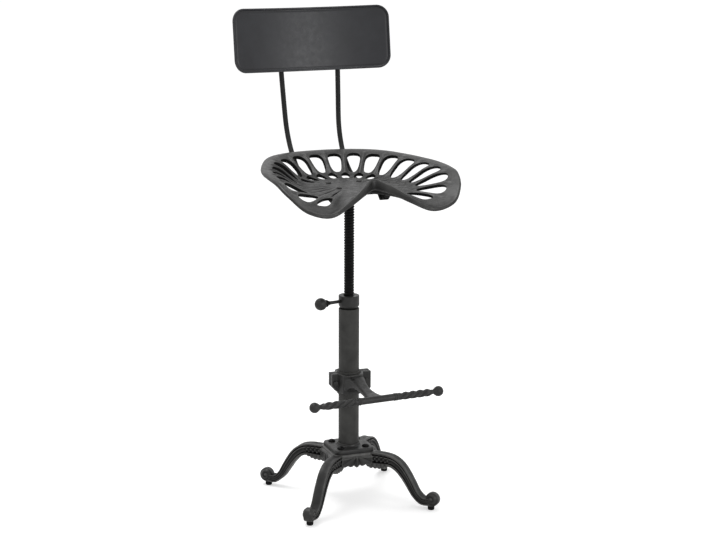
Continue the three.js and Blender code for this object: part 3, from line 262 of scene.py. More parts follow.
def bevelledCopy(node, look, body, width, segments=3):
    # the node's own shape, merged, with its sharp corners rounded to a width
    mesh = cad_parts[node].data.copy()
    mesh.name = node + "_rounded"
    shape = bmesh.new()
    shape.from_mesh(mesh)
    bmesh.ops.remove_doubles(shape, verts=shape.verts, dist=mergeGap)
    bmesh.ops.dissolve_limit(shape, angle_limit=cornerRule["flat"], verts=shape.verts, edges=shape.edges)
    shape.to_mesh(mesh)
    shape.free()
    mesh.shade_smooth()
    mesh.materials.clear()
    mesh.materials.append(look)
    piece = standIn(node + "_rounded", mesh, body, [node])
    bevel = piece.modifiers.new("round", "BEVEL")
    bevel.width = width
    bevel.segments = segments
    bevel.limit_method = "ANGLE"
    bevel.angle_limit = cornerRule["sharp"]
    bevel.harden_normals = True
    bevel.use_clamp_overlap = True
    return piece


# Finishes

paintWork = {
    "shades": ((0.0, 0.1), (0.35, 0.6), (0.5, 1.0), (0.72, 1.9), (1.0, 4.5)),  # place in the painted shade and highlight, share of the tone
    "blotchScale": 34,
    "glossScale": 90,
    "hollowRoughness": 0.45,  # added where the painted shade and highlight is lowest, in the hollows
    "fineStrength": 0.55,
    "broadStrength": 0.5,
    "broadScale": 5,  # how much larger the broad grain is
    "broadDepth": 2.5,
}


def worked(tree, operation, first, second, clamp=False):
    # a math node between two values, each a socket or a plain number
    node = tree.nodes.new("ShaderNodeMath")
    node.operation = operation
    node.use_clamp = clamp
    for value, socket in zip((first, second), node.inputs):
        if isinstance(value, bpy.types.NodeSocket):
            tree.links.new(value, socket)
        else:
            socket.default_value = value
    return node.outputs[0]


def ranged(tree, value, low, high, toLow, toHigh):
    # the value carried from one range to another
    node = tree.nodes.new("ShaderNodeMapRange")
    for socket, number in zip(("From Min", "From Max", "To Min", "To Max"), (low, high, toLow, toHigh)):
        node.inputs[socket].default_value = number
    tree.links.new(value, node.inputs["Value"])
    return node.outputs["Result"]


def paint(name, tone, roughness, roughSpread, grain, grainDepth, blotch=0.25, specular=0.5):
    # the tone times a share that follows the painted shade and highlight attribute, darker in hollows and
    # lighter on edges, times a slow blotch; the roughness drifts by its spread and rises in hollows; two
    # sizes of grain are added as bump
    material = bpy.data.materials.new(name)
    material.use_nodes = True
    tree = material.node_tree
    nodes, links = tree.nodes, tree.links
    shader = nodes["Principled BSDF"]
    shader.inputs["Specular IOR Level"].default_value = specular
    place = nodes.new("ShaderNodeTexCoord")

    def noise(scale, detail, rough=0.55):
        # a value from noise over the piece's own coordinates
        texture = nodes.new("ShaderNodeTexNoise")
        texture.inputs["Scale"].default_value = scale
        texture.inputs["Detail"].default_value = detail
        texture.inputs["Roughness"].default_value = rough
        links.new(place.outputs["Object"], texture.inputs["Vector"])
        return texture.outputs["Fac"]

    def bump(height, strength, depth):
        # the height as a slope of the surface, of a strength and a depth
        node = nodes.new("ShaderNodeBump")
        node.inputs["Strength"].default_value = strength
        node.inputs["Distance"].default_value = depth
        links.new(height, node.inputs["Height"])
        return node

    # the painted shade and highlight attribute: hollows darker as painted shade, edges lighter as painted
    # highlight
    shadeAndHighlight = nodes.new("ShaderNodeAttribute")
    shadeAndHighlight.attribute_name = "shadeAndHighlight"
    ramp = nodes.new("ShaderNodeValToRGB")
    shades = paintWork["shades"]
    for at, _ in shades[1:-1]:
        ramp.color_ramp.elements.new(at)
    for element, (at, share) in zip(ramp.color_ramp.elements, shades):
        element.position = at
        element.color = (*[channel * share for channel in tone], 1)
    links.new(ranged(tree, shadeAndHighlight.outputs["Fac"], -1, 1, 0, 1), ramp.inputs["Fac"])
    cloud = nodes.new("ShaderNodeCombineColor")
    drift = ranged(tree, noise(paintWork["blotchScale"], 5), 0.32, 0.68, 1 - blotch, 1 + blotch)
    for channel in ("Red", "Green", "Blue"):
        links.new(drift, cloud.inputs[channel])
    blotches = nodes.new("ShaderNodeMix")
    blotches.data_type = "RGBA"
    blotches.blend_type = "MULTIPLY"
    blotches.inputs["Factor"].default_value = 1
    links.new(ramp.outputs["Color"], blotches.inputs["A"])
    links.new(cloud.outputs["Color"], blotches.inputs["B"])
    links.new(blotches.outputs["Result"], shader.inputs["Base Color"])

    drifting = noise(paintWork["glossScale"], 6)
    drifting = ranged(tree, drifting, 0.3, 0.7, roughness - roughSpread, roughness + roughSpread)
    hollow = ranged(tree, shadeAndHighlight.outputs["Fac"], -0.8, 0, paintWork["hollowRoughness"], 0)
    links.new(worked(tree, "ADD", drifting, hollow), shader.inputs["Roughness"])

    fine = bump(noise(grain, 4, 0.6), paintWork["fineStrength"], grainDepth)
    broad = bump(noise(grain / paintWork["broadScale"], 3), paintWork["broadStrength"],
                 grainDepth * paintWork["broadDepth"])
    links.new(broad.outputs["Normal"], fine.inputs["Normal"])
    links.new(fine.outputs["Normal"], shader.inputs["Normal"])
    return material


castLook = paint("cast iron, black paint", tone=(0.015, 0.0148, 0.0143), roughness=0.4, roughSpread=0.1,
                 grain=620, grainDepth=0.0004, blotch=0.4, specular=0.34)
# painted shade: a near-black look for slot walls, undersides and grooves, where shade falls
shadeLook = paint("cast iron, painted shade", tone=(0.004, 0.004, 0.004), roughness=0.7, roughSpread=0.08,
                 grain=620, grainDepth=0.0003, specular=0.06)
smoothLook = paint("column, dark satin paint", tone=(0.043, 0.0428, 0.0408), roughness=0.5, roughSpread=0.05,
                   grain=900, grainDepth=0.00006, specular=0.17)
blackLook = paint("steel, blackened", tone=(0.004, 0.004, 0.004), roughness=0.42, roughSpread=0.06,
                  grain=800, grainDepth=0.00012, specular=0.1)
rodLook = paint("rod, black enamel", tone=(0.015, 0.015, 0.015), roughness=0.46, roughSpread=0.05,
                grain=800, grainDepth=0.00005, specular=0.13)
sheetLook = paint("pressed sheet, satin black", tone=(0.015, 0.0155, 0.0185), roughness=0.36,
                  roughSpread=0.04, grain=700, grainDepth=0.00004, blotch=0.15, specular=0.36)
rubberLook = paint("rubber glide", tone=(0.006, 0.006, 0.006), roughness=0.75, roughSpread=0.08,
                   grain=500, grainDepth=0.0001, specular=0.15)
nylonLook = paint("nylon bush", tone=(0.55, 0.53, 0.47), roughness=0.45, roughSpread=0.06,
                  grain=400, grainDepth=0.00008, blotch=0.06)
print("stool: finishes made")


# The seat: a dished pan on a grid of angles from the back and shares of the rim's reach, pierced by a
# slot in each of its sectors and by small slots between them at the back

seat = {
    "halfWidth": 0.196,
    "rimRise": 0.044,
    "thickness": 0.0055,
    "boltHead": 0.0033,  # how far the bolts' heads stand over the pan's floor
    "lobeStart": 100,  # degrees from the back, where the bowl gives way to the front lobes
    "lobeEnd": 140,
    "peakEase": 1,  # degrees at the front over which the rise is rounded
    "notchEase": 2.5,  # the same for the reach
    "easeLength": 2.4,  # times an ease, over which it dies away
    "ribRise": 0.0026,
    "ribSpread": 0.004,
    "ribStart": (0.2, 0.42),  # shares of the reach over which a rib rises
    "ribEnd": (-0.03, 0.05),  # past the slots' outer ends
    "ribGrow": (-0.12, 0.02),  # past the slots' inner ends
    "ribFirst": 0.45,  # its height before that, as a share
    "ribStop": (2.62, 2.75),  # angles past which there are none
    "grooveDepth": 0.0036,
    "grooveSpread": 0.002,
    "grooveStart": (0.22, 0.34),
    "grooveEnd": (-0.06, -0.01),  # past the slots' inner ends
    "grooveFade": 0.12,
    "grooveStop": (2.5, 2.62),
    "shadedShare": 0.45,  # of the groove's depth, below which a face gets the painted shade look
    "slotSwell": 0.0028,  # added thickness round the slots at the back
    "swellStart": (0.5, 0.68),
    "swellEnd": (0.92, 0.99),
    "swellSides": (0.8, 1.4),
    "slotGap": 0.0105,  # width of the ribs at the slots' outer ends
    "sideWidening": 0.0026,  # narrower ribs at the sides
    "slotPower": 2.6,
    "innerDraw": 0.96,  # on the places at which the slots start
    "outerDraw": 1.025,  # on the places at which they end
    "outerMost": 0.965,
    "middleHole": 0.06,  # innermost row, as a share of the small slots' place
    "slotLengths": (0.95, 0.97),  # shares of the block towards the middle and towards the rim
    "edge": 0.0013,  # how far the slots' edges round over
    "smallSlots": 3,  # to each side of the back
    "smallInner": 0.41,
    "smallGap": 0.05,
    "smallDraw": 0.97,
    "smallWidths": (0.6, 0.8),
    "smallLengths": (0.8, 0.9),
    "lipReach": 0.0035,
    "lipBead": 0.0036,
    "perSector": 16,
    "frontColumns": 22,
    "rows": (16, 12, 28, 9),  # to the small slots, across them, across the slots and to the rim
}
rimReachShares = [
    0.903, 0.906, 0.916, 0.923, 0.918, 0.901, 0.883, 0.88, 0.898, 0.929,
    0.972, 1.028, 1.105, 1.176, 1.189, 1.082, 0.939, 0.821, 0.699,
]
rimRiseShares = [
    1, 1, 1, 1, 1, 0.991, 0.977, 0.966, 0.943, 0.932,
    0.909, 0.875, 0.773, 0.364, -0.227, -0.432, 0.045, 0.545, 0.795,
]
bowlShares = [0, 0, 0, 0, 0, 0.014, 0.114, 0.375, 0.7, 0.92, 1]
lobeShares = [0, 0, 0, 0, 0, 0.03, 0.1, 0.25, 0.48, 0.76, 1]
lipDropShares = [0.163] * 15 + [0.186, 0.27, 0.38, 0.5]
# down the lip's profile: shares of its reach, of its wall and of its bead
lipOutShares = [0.35, 0.68, 0.9, 1, 1, 1.08, 1.14, 1.08, 0.8, 0.3, -0.1, -0.3]
lipWallShares = [0.02, 0.1, 0.26, 0.5, 1, 1, 1, 1, 1, 1, 1, 0.8]
lipBeadShares = [0, 0, 0, 0, 0, 0.16, 0.5, 0.84, 1, 1, 0.86, 0.2]
sectorShares = [0, 0.089, 0.176, 0.268, 0.369, 0.472, 0.564, 0.642, 0.709, 0.769, 0.825]
slotInnerShares = [0.645, 0.635, 0.635, 0.625, 0.615, 0.615, 0.62, 0.63, 0.64, 0.63]
slotOuterShares = [0.863, 0.87, 0.863, 0.885, 0.88, 0.885, 0.9, 0.9, 0.875, 0.81]
slotMixShares = [0, 0.12, 0.3, 0.55, 0.78]  # from a slot's outline out to its block's border
sectorAngles = np.array(sectorShares) * math.pi
sectorMiddles = (sectorAngles[1:] + sectorAngles[:-1]) / 2
panFloor = heightsOf("seat_bolt_1")[1] - seat["boltHead"]


def fromBack(angle, ease):
    # share of the half turn from the back; the angle f left to the front becomes
    # f squared over f plus a fading ease, so that the front's peak is round
    front = math.pi - np.abs(angle)
    ease = math.radians(ease)
    fading = ease * np.exp(-front / (seat["easeLength"] * ease))
    return 1 - front ** 2 / (front + fading + 1e-9) / math.pi


def rimReach(angle):
    # the rim's distance from the middle, as shares of the half width
    return along(rimReachShares, fromBack(angle, seat["notchEase"])) * seat["halfWidth"]


def panPoint(angle, share):
    # reach out from the middle by a share of the rim's reach; rise by the bowl's share of the rim's
    # rise, giving way to the lobes' share towards the front
    reach = rimReach(angle) * share
    lobe = step(math.radians(seat["lobeStart"]), math.radians(seat["lobeEnd"]), np.abs(angle))
    bowl = along(bowlShares, np.minimum(share, 1))
    dip = along(lobeShares, np.minimum(share, 1))
    rimRise = along(rimRiseShares, fromBack(angle, seat["peakEase"])) * seat["rimRise"]
    rise = rimRise * (bowl + (dip - bowl) * lobe)
    return np.stack([reach * np.sin(angle), reach * np.cos(angle), panFloor + rise], -1)


def panNormal(angle, share):
    # cross product of small steps along and across
    small = 0.01
    near = np.maximum(share, small * 4)
    outward = panPoint(angle, near + small) - panPoint(angle, near - small)
    across = panPoint(angle + small, near) - panPoint(angle - small, near)
    return unit(np.cross(across, outward))


def slotInner(angle):
    # share of the reach at which the slots start: straight lines between the sectors' middles
    return np.interp(np.abs(angle), sectorMiddles, slotInnerShares) * seat["innerDraw"]


def slotOuter(angle):
    # the same for where they end, never nearer the rim than the outermost place
    ends = np.interp(np.abs(angle), sectorMiddles, slotOuterShares) * seat["outerDraw"]
    return np.minimum(ends, seat["outerMost"])


def panRelief(angle, share):
    # a round rib along each sector's edge, and a narrow groove down each sector's middle inside its
    # slot; both are bell curves of the distance from their line, faded in and out along it
    size = np.abs(angle)
    reach = rimReach(angle) * share
    pastInner, pastOuter = share - slotInner(angle), share - slotOuter(angle)
    ribLine = np.abs(size[..., None] - sectorAngles).min(-1) * reach
    window = step(*seat["ribStart"], share) * (1 - step(*seat["ribEnd"], pastOuter))
    grown = seat["ribFirst"] + (1 - seat["ribFirst"]) * step(*seat["ribGrow"], pastInner)
    rib = np.exp(-(ribLine / seat["ribSpread"]) ** 2) * window * grown * (1 - step(*seat["ribStop"], size))
    grooveLine = np.abs(size[..., None] - sectorMiddles).min(-1) * reach
    window = step(*seat["grooveStart"], share) * (1 - step(*seat["grooveEnd"], pastInner))
    first = sectorAngles[seat["smallSlots"]]
    aside = step(first, first + seat["grooveFade"], size) * (1 - step(*seat["grooveStop"], size))
    groove = np.exp(-(grooveLine / seat["grooveSpread"]) ** 2) * window * aside
    return seat["ribRise"] * rib - seat["grooveDepth"] * groove


def panTop(angle, share):
    # the pan's surface lifted along its normal by the relief
    return panPoint(angle, share) + panNormal(angle, share) * panRelief(angle, share)[..., None]


def panUnder(angle, share):
    # the pan's surface sunk along its normal by the thickness, which swells round the slots
    swell = step(*seat["swellStart"], share) * (1 - step(*seat["swellEnd"], share)) * seat["slotSwell"]
    swell = swell * (1 - step(*seat["swellSides"], np.abs(angle)))
    return panPoint(angle, share) - panNormal(angle, share) * (seat["thickness"] + swell)[..., None]


def seatGrid():
    # even angles within each sector, and at each angle even shares between the places where the
    # small slots, the slots and the rim begin
    sectors = zip(sectorAngles[:-1], sectorAngles[1:])
    half = np.concatenate(
        [np.linspace(a, b, seat["perSector"], endpoint=False) for a, b in sectors]
        + [np.linspace(sectorAngles[-1], math.pi, seat["frontColumns"], endpoint=False)]
    )
    angles = np.concatenate([half, [math.pi], -half[:0:-1]])
    inner = slotInner(angles)
    small = np.minimum(seat["smallInner"], inner - seat["smallGap"]) * seat["smallDraw"]
    stops = [small * seat["middleHole"], small, inner, slotOuter(angles), np.ones(len(angles))]
    parts = [
        low[:, None] + (high - low)[:, None] * (np.arange(count) / count)
        for low, high, count in zip(stops[:-1], stops[1:], seat["rows"])
    ]
    return angles, np.concatenate(parts + [stops[-1][:, None]], 1)


def slotPlaces(columns):
    # each slot's first column, its first and last row, and its widths and lengths as shares of its
    # block: a slot is its sector less a rib's width, which is a smaller share further out
    per = seat["perSector"]
    firstSmall, firstSlot, lastSlot, _ = np.cumsum(seat["rows"]).tolist()
    places = []
    for i, middle in enumerate(sectorMiddles):
        width = (sectorAngles[i + 1] - sectorAngles[i]) * rimReach(middle)
        clear = seat["slotGap"] - seat["edge"] * 1.6 - seat["sideWidening"] * min(i / 5, 1)
        inner = max((1 - clear / (width * slotInnerShares[i])) * 0.97, 0.25)
        outer = max(1 - clear / (width * slotOuterShares[i]), 0.4)
        for start in (i * per, columns - (i + 1) * per):
            places.append((start, firstSlot, lastSlot, (inner, outer), seat["slotLengths"]))
    for i in range(-seat["smallSlots"], seat["smallSlots"] + 1):
        start = i * per - per // 2
        places.append((start, firstSmall, firstSlot, seat["smallWidths"], seat["smallLengths"]))
    return places


def slotRings(angles, shares, start, low, high, widths, lengths):
    # rings of points from a block's border in to the slot's outline, round the sheet's edge and back
    # out underneath, with the border's own places; the outline is a superellipse that widens outwards
    columns, rows = shares.shape
    per, deep, power = seat["perSector"], high - low, seat["slotPower"]
    across = np.concatenate([np.arange(per), np.full(deep, per), np.arange(per, 0, -1), np.zeros(deep, int)])
    out = np.concatenate([np.zeros(per, int), np.arange(deep), np.full(per, deep), np.arange(deep, 0, -1)])
    a, b = across / per * 2 - 1, out / deep * 2 - 1
    size = (np.abs(a) ** power + np.abs(b) ** power) ** (1 / power)
    y = b / size * np.where(b < 0, *lengths)
    x = a / size * (widths[0] + (widths[1] - widths[0]) * (y + 1) / 2)
    first, last = angles[start % columns], angles[(start + per) % columns]

    def spot(mix):
        # angle and share of the ring that lies a mix of the way from the outline to the border
        sideways, outwards = x + (a - x) * mix, y + (b - y) * mix
        place = (sideways + 1) / 2 * per
        i = np.clip(place.astype(int), 0, per - 1)
        at, after = (start + i) % columns, (start + i + 1) % columns
        lowShare = shares[at, low] + (shares[after, low] - shares[at, low]) * (place - i)
        highShare = shares[at, high] + (shares[after, high] - shares[at, high]) * (place - i)
        angle = first + (last - first) * (sideways + 1) / 2
        return angle, lowShare + (highShare - lowShare) * (outwards + 1) / 2

    topRings = [panTop(*spot(mix)) for mix in slotMixShares[::-1]]
    underRings = [panUnder(*spot(mix)) for mix in slotMixShares]
    outline, below = topRings[-1], underRings[0]
    tangent = np.roll(outline, -1, 0) - np.roll(outline, 1, 0)
    inward = unit(np.cross(panNormal(*spot(0)), tangent))
    inward *= np.sign((inward * (outline.mean(0) - outline)).sum())
    bend = np.radians([60, 30, 0, -30, -60])[:, None, None]
    edge = (outline + below) / 2 + (outline - below) / 2 * np.sin(bend) + inward * np.cos(bend) * seat["edge"]
    return np.concatenate([topRings, edge, underRings]), (start + across) % columns * rows + low + out


def lipRings(angles):
    # from the rim the lip rolls over outwards, drops down its wall into a bead and turns back in
    # under the pan
    rim, small = np.ones(len(angles)), 0.02
    tangent = panPoint(angles + small, rim) - panPoint(angles - small, rim)
    outward = unit(np.stack([-tangent[:, 1], tangent[:, 0], 0 * angles], -1))
    wall = along(lipDropShares, np.abs(angles) / math.pi) * seat["rimRise"] - seat["lipBead"]
    outs = np.array(lipOutShares)[:, None, None] * seat["lipReach"]
    downs = np.array(lipWallShares)[:, None] * wall + np.array(lipBeadShares)[:, None] * seat["lipBead"]
    return panPoint(angles, rim) + outward * outs - downs[..., None] * np.array([0, 0, 1])


def seatSolid():
    # the grid's top and underside without the slots' blocks, the slots' rings in those blocks, the
    # lip between both rims and triangles between both middles and the innermost rows; the slots' edges below
    # their top, their undersides, the pan's underside and its sunk grooves take the second look, which is
    # painted shade
    angles, shares = seatGrid()
    columns, rows = shares.shape
    spread = np.repeat(angles[:, None], rows, 1)
    points = [panTop(spread, shares).reshape(-1, 3), panUnder(spread, shares).reshape(-1, 3)]
    under = columns * rows  # places of the underside's points start here
    count = 2 * under
    filled = np.ones((columns, rows - 1), bool)
    plainFaces, paintedShadeFaces = [], []
    for start, low, high, widths, lengths in slotPlaces(columns):
        block = (start + np.arange(seat["perSector"])) % columns
        filled[np.ix_(block, np.arange(low, high))] = False
        rings, border = slotRings(angles, shares, start, low, high, widths, lengths)
        size = len(border)
        walls = gridFaces(len(rings), size) + count
        seen = size * len(slotMixShares)
        last = count + (len(rings) - 1) * size + np.arange(size)
        plainFaces += [ringFaces(border, count + np.arange(size)), walls[:seen]]
        paintedShadeFaces += [walls[seen:], ringFaces(last, under + border)]
        points.append(rings.reshape(-1, 3))
        count += len(points[-1])

    c, r = np.arange(columns)[:, None], np.arange(rows - 1)[None, :]
    d = (c + 1) % columns
    quads = np.stack([c * rows + r, d * rows + r, d * rows + r + 1, c * rows + r + 1], -1)[filled]
    relief = panRelief(spread, shares)
    pairs = relief + np.roll(relief, -1, 0)
    sunk = ((pairs[:, :-1] + pairs[:, 1:]) / 4 < -seat["shadedShare"] * seat["grooveDepth"])[filled]
    plainFaces.append(quads[~sunk])
    paintedShadeFaces += [quads[sunk], quads + under]

    lip = lipRings(angles)
    first = count + np.arange(columns)
    rim = np.arange(columns) * rows + rows - 1
    plainFaces += [gridFaces(len(lip), columns) + count, ringFaces(rim, first)]
    plainFaces.append(ringFaces(first + (len(lip) - 1) * columns, under + rim))
    points.append(lip.reshape(-1, 3))
    count += len(points[-1])

    innermost = np.arange(columns) * rows
    points.append(np.array([[0, 0, panFloor], [0, 0, panFloor - seat["thickness"]]]))
    plainFaces.append(fanFaces(count, innermost))
    paintedShadeFaces.append(fanFaces(count + 1, under + innermost))
    return onColumn(np.concatenate(points)), [(faces, 0) for faces in plainFaces] + [(faces, 1) for faces in paintedShadeFaces]


# the second look is painted shade on the slots' walls, the underside and the sunk grooves
pan = addPiece("seat_pan", seatSolid(), [castLook, shadeLook], "seat", ["seat_casting"])
# painted shade in the pan's hollows and painted highlight on its ribs and edges
paintShadeAndHighlight(pan, 0.0009, 5, 0.4)
print("stool: seat made")


# The backrest: a curved pressed sheet with a rolled edge

back = {
    "width": 0.351,
    "height": 0.133,
    "thickness": 0.003,
    "bead": 0.0022,
    "beadWidth": 0.0036,
    "groove": 0.0005,
    "hem": 0.0045,  # how far the edge is turned in at the rear
    "rounding": 0.0014,
    "crown": 0.0006,
    "corner": 0.027,
    "sagitta": 0.029,
    "bottom": 0.8705,
    "edgeForward": 0.2065,  # from the column's axis to the side edges
    "lean": math.radians(8.6),
    "cornerSteps": 14,
    "longSteps": 34,
    "shortSteps": 10,
    "faceRings": 9,
}
backRadius = ((back["width"] / 2) ** 2 + back["sagitta"] ** 2) / (2 * back["sagitta"])


def backPoint(across, up, through):
    # round an upright arc by the distance across, up its leaning face, and out through the sheet
    turn = across / backRadius
    reach = backRadius + through
    forward = back["sagitta"] - backRadius + reach * np.cos(turn)
    lean = back["lean"]
    return np.stack([
        reach * np.sin(turn),
        back["edgeForward"] + forward * math.cos(lean) + up * math.sin(lean),
        back["bottom"] - forward * math.sin(lean) + up * math.cos(lean),
    ], -1)


def roundedRing(inset):
    # the sheet's rounded rectangle drawn in by an inset: a quarter circle at each corner and even
    # steps between them, with the same number of points at every inset
    radius = max(back["corner"] - inset, 0)
    x, y = back["width"] / 2 - inset - radius, back["height"] / 2 - inset - radius
    corners = []
    for sx, sy, start in ((1, -1, -90), (1, 1, 0), (-1, 1, 90), (-1, -1, 180)):
        angle = np.radians(start + np.linspace(0, 90, back["cornerSteps"] + 1))
        corners.append(np.stack([sx * x + radius * np.cos(angle), sy * y + radius * np.sin(angle)], -1))
    ring = []
    for i, corner in enumerate(corners):
        steps = back["longSteps"] if i % 2 else back["shortSteps"]
        t = np.arange(1, steps)[:, None] / steps
        ring += [corner, corner[-1] + (corners[(i + 1) % 4][0] - corner[-1]) * t]
    return np.concatenate(ring)


def backrestSolid():
    # rings of the outline, drawn in step by step up the rear, round the beaded edge and over the
    # slightly crowned front, so that both faces close at their middle line
    core = back["height"] / 2
    bead, wide, thick, count = back["bead"], back["beadWidth"], back["thickness"], back["faceRings"]
    edge = softened([
        [back["hem"], thick],
        [0, thick],
        [0, -bead],
        [wide, -bead],
        [wide * 1.2, back["groove"]],
        [wide * 1.8, back["groove"]],
        [wide * 2.4, 0],
    ], back["rounding"], 6)
    inner = np.linspace(wide * 3, core, count)
    rear = np.stack([inner[::-1], np.full(count, thick)], -1)
    front = np.stack([inner, -back["crown"] * np.sin((inner - inner[0]) / core)], -1)
    rings = []
    for inset, through in np.concatenate([rear, edge, front]):
        ring = roundedRing(inset)
        rings.append(backPoint(ring[:, 0], ring[:, 1] + core, through))
    return onColumn(np.concatenate(rings)), [(gridFaces(len(rings), len(rings[0])), 0)]


addPiece("backrest_sheet", backrestSolid(), [sheetLook], "seat", ["backrest"])


# The two rods: level under the seat, a wide bend, and up the backrest's back

rod = {
    "radius": 0.0053,
    "spread": 0.0544,
    "topSpread": 0.0624,
    "bend": 0.15,
    "bendStart": 0.0785,
    "lean": math.radians(6.3),
    "frontEnd": 0.068,
    "top": 0.975,
    "tipLength": 0.0012,
    "tipShare": 0.78,  # of the radius, at the chamfered front end
    "sides": 20,
    "corners": {"saddle": 0.0007, "nut": 0.0006, "screw": 0.0003},
}
rodHeight = middleOf("rod_nut_front_left")[2]


def rodLine(side):
    # points along the level run, the quarter bend and the climb, spread wider as they rise
    offset = back["thickness"] + rod["radius"] + fitGap
    up = np.linspace(0, (rod["top"] - back["bottom"]) / math.cos(back["lean"]), 16)
    climb = backPoint(np.full(16, rod["topSpread"]), up, offset)
    angle = np.linspace(0, math.pi / 2 - rod["lean"], 30)
    level = np.linspace(-rod["frontEnd"], rod["bendStart"], 20)[:-1]
    y = np.concatenate([level, rod["bendStart"] + rod["bend"] * np.sin(angle), climb[:, 1]])
    z = np.concatenate([0 * level + rodHeight, rodHeight + rod["bend"] * (1 - np.cos(angle)), climb[:, 2]])
    part = np.clip((z - rodHeight) / (climb[0, 2] - rodHeight), 0, 1)
    x = side * (rod["spread"] + (climb[0, 0] - rod["spread"]) * part)
    line = np.stack([x, y, z], -1)
    for _ in range(3):
        line[1:-1] = (line[:-2] + 2 * line[1:-1] + line[2:]) / 4
    return line


def tube(line, radii, sides):
    # a round section carried along a line that stays near one upright plane
    forward = unit(np.gradient(line, axis=0))
    across = unit(np.cross(forward, np.array([1.0, 0, 0])))
    third = np.cross(across, forward)
    angle = turnAngles(sides)[:, None]
    ring = across[:, None] * np.cos(angle) + third[:, None] * np.sin(angle)
    return line[:, None] + ring * np.asarray(radii)[:, None, None]


def rodSolid(side):
    # a tube along the rod's line, whose first ring is smaller than the next, a tip's length behind
    line = rodLine(side)
    tip = unit(line[1:2] - line[:1]) * rod["tipLength"]
    line = np.concatenate([line[:1], line[:1] + tip, line[1:]])
    radii = np.full(len(line), rod["radius"])
    radii[0] *= rod["tipShare"]
    return capped(onColumn(tube(line, radii, rod["sides"])))


for sideName, side in (("left", -1), ("right", 1)):
    addPiece("rod_" + sideName, rodSolid(side), [rodLook], "seat", ["backrest_rod_" + sideName])
    bevelledCopy("rod_saddle_" + sideName, blackLook, "seat", rod["corners"]["saddle"])
    for place in ("front", "inner"):
        bevelledCopy(f"rod_nut_{place}_{sideName}", blackLook, "seat", rod["corners"]["nut"])
    for place in ("upper", "lower"):
        node = f"saddle_screw_{sideName}_{place}"
        bevelledCopy(node, blackLook, "seat", rod["corners"]["screw"])
print("stool: backrest made")


# Turned pieces about the column

def sleevePiece(name, corners, rounding, look, body, node):
    # a closed profile of radius and height, softened and carried round the column
    solid = looped(onColumn(turned(softened(corners, rounding, closed=True), 72)))
    return addPiece(name, solid, [look], body, [node])


column = {"radius": 0.0212, "wall": 0.0026, "rounding": 0.0012}
columnLow, columnHigh = heightsOf("column_tube")
columnBore = column["radius"] - column["wall"]
sleevePiece("column_tube_smooth", [
    [columnBore, columnLow],
    [column["radius"], columnLow],
    [column["radius"], columnHigh],
    [columnBore, columnHigh],
], column["rounding"], smoothLook, "base", "column_tube")

lock = {"radius": 0.0213, "foot": 0.0175, "taper": 0.006, "bore": 0.0112, "rounding": 0.0014}
lockLow, lockHigh = heightsOf("lock_collar")
sleevePiece("lock_collar_smooth", [
    [lock["bore"], lockLow],
    [lock["foot"], lockLow],
    [lock["radius"], lockLow + lock["taper"]],
    [lock["radius"], lockHigh],
    [lock["bore"], lockHigh],
], lock["rounding"], castLook, "lock", "lock_collar")

collar = {"radius": 0.017, "bore": 0.0094, "rounding": 0.002}
collarLow, collarHigh = heightsOf("spindle_collar")
sleevePiece("spindle_collar_smooth", [
    [collar["bore"], collarLow],
    [collar["radius"], collarLow],
    [collar["radius"], collarHigh],
    [collar["bore"], collarHigh],
], collar["rounding"], blackLook, "seat", "spindle_collar")


# The spindle: a rounded trapezoid thread cut round and round

spindle = {
    "radius": 0.01075,
    "root": 0.0093,
    "pitch": 0.0056,
    "journal": 0.0065,
    "journalLength": 0.0226,
    "crestStart": (0.1, 0.36),  # shares of the pitch over which the thread rises
    "crestEnd": (0.56, 0.82),
    "fade": 0.004,  # length over which the thread dies away at both ends
    "chamfer": 0.0008,
    "rowsPerPitch": 12,
    "sides": 40,
}


def spindleSolid():
    # the radius is the root's plus the thread's depth where the height, less a pitch each turn,
    # falls on a crest; the crest fades at both ends
    low, high = heightsOf("spindle")
    journalTop, top = low + spindle["journalLength"], collarLow - fitGap
    rows = int((top - journalTop) / spindle["pitch"] * spindle["rowsPerPitch"])
    height = np.linspace(journalTop, top, rows)[:, None]
    angle = turnAngles(spindle["sides"])
    phase = (height / spindle["pitch"] - angle / fullTurn) % 1
    crest = step(*spindle["crestStart"], phase) * (1 - step(*spindle["crestEnd"], phase))
    fade = spindle["fade"]
    fade = step(journalTop, journalTop + fade, height) * (1 - step(top - fade, top, height))
    radius = spindle["root"] + (spindle["radius"] - spindle["root"]) * crest * fade
    foot = turned([[spindle["journal"], low], [spindle["journal"], journalTop]], spindle["sides"])
    chamfer = spindle["chamfer"]
    head = turned([[spindle["root"], high - chamfer], [spindle["root"] - chamfer, high]], spindle["sides"])
    return capped(onColumn(np.concatenate([foot, polar(radius, angle, height), head])))


addPiece("spindle_threaded", spindleSolid(), [blackLook], "seat", ["spindle"])


# The lock's lever with its ferrule and ball

lever = {
    "radius": 0.00375,
    "depth": 0.004,  # how far it goes into the collar
    "ball": 0.01275,
    "ferrule": 0.0085,
    "ferruleLength": 0.01,
    "ferruleRounding": 0.0008,
    "ballSteps": 26,
}
ballAt = middleOf("lock_ball")
leverAxis = columnAt + [0, 0, ballAt[2]]
leverWay = unit(ballAt - leverAxis)
leverFoot = leverAxis + leverWay * (lock["radius"] - lever["depth"])


def alongLever(profile, start, sides=40):
    # a profile of radius and distance carried round the lever's line
    return capped(placed(turned(profile, sides), start, leverWay))


def ballProfile(radius, neck):
    # a circle from where its neck leaves it round to its far pole
    angle = np.linspace(math.asin(neck / radius), math.pi, lever["ballSteps"])
    return np.stack([radius * np.sin(angle), -radius * np.cos(angle)], -1)


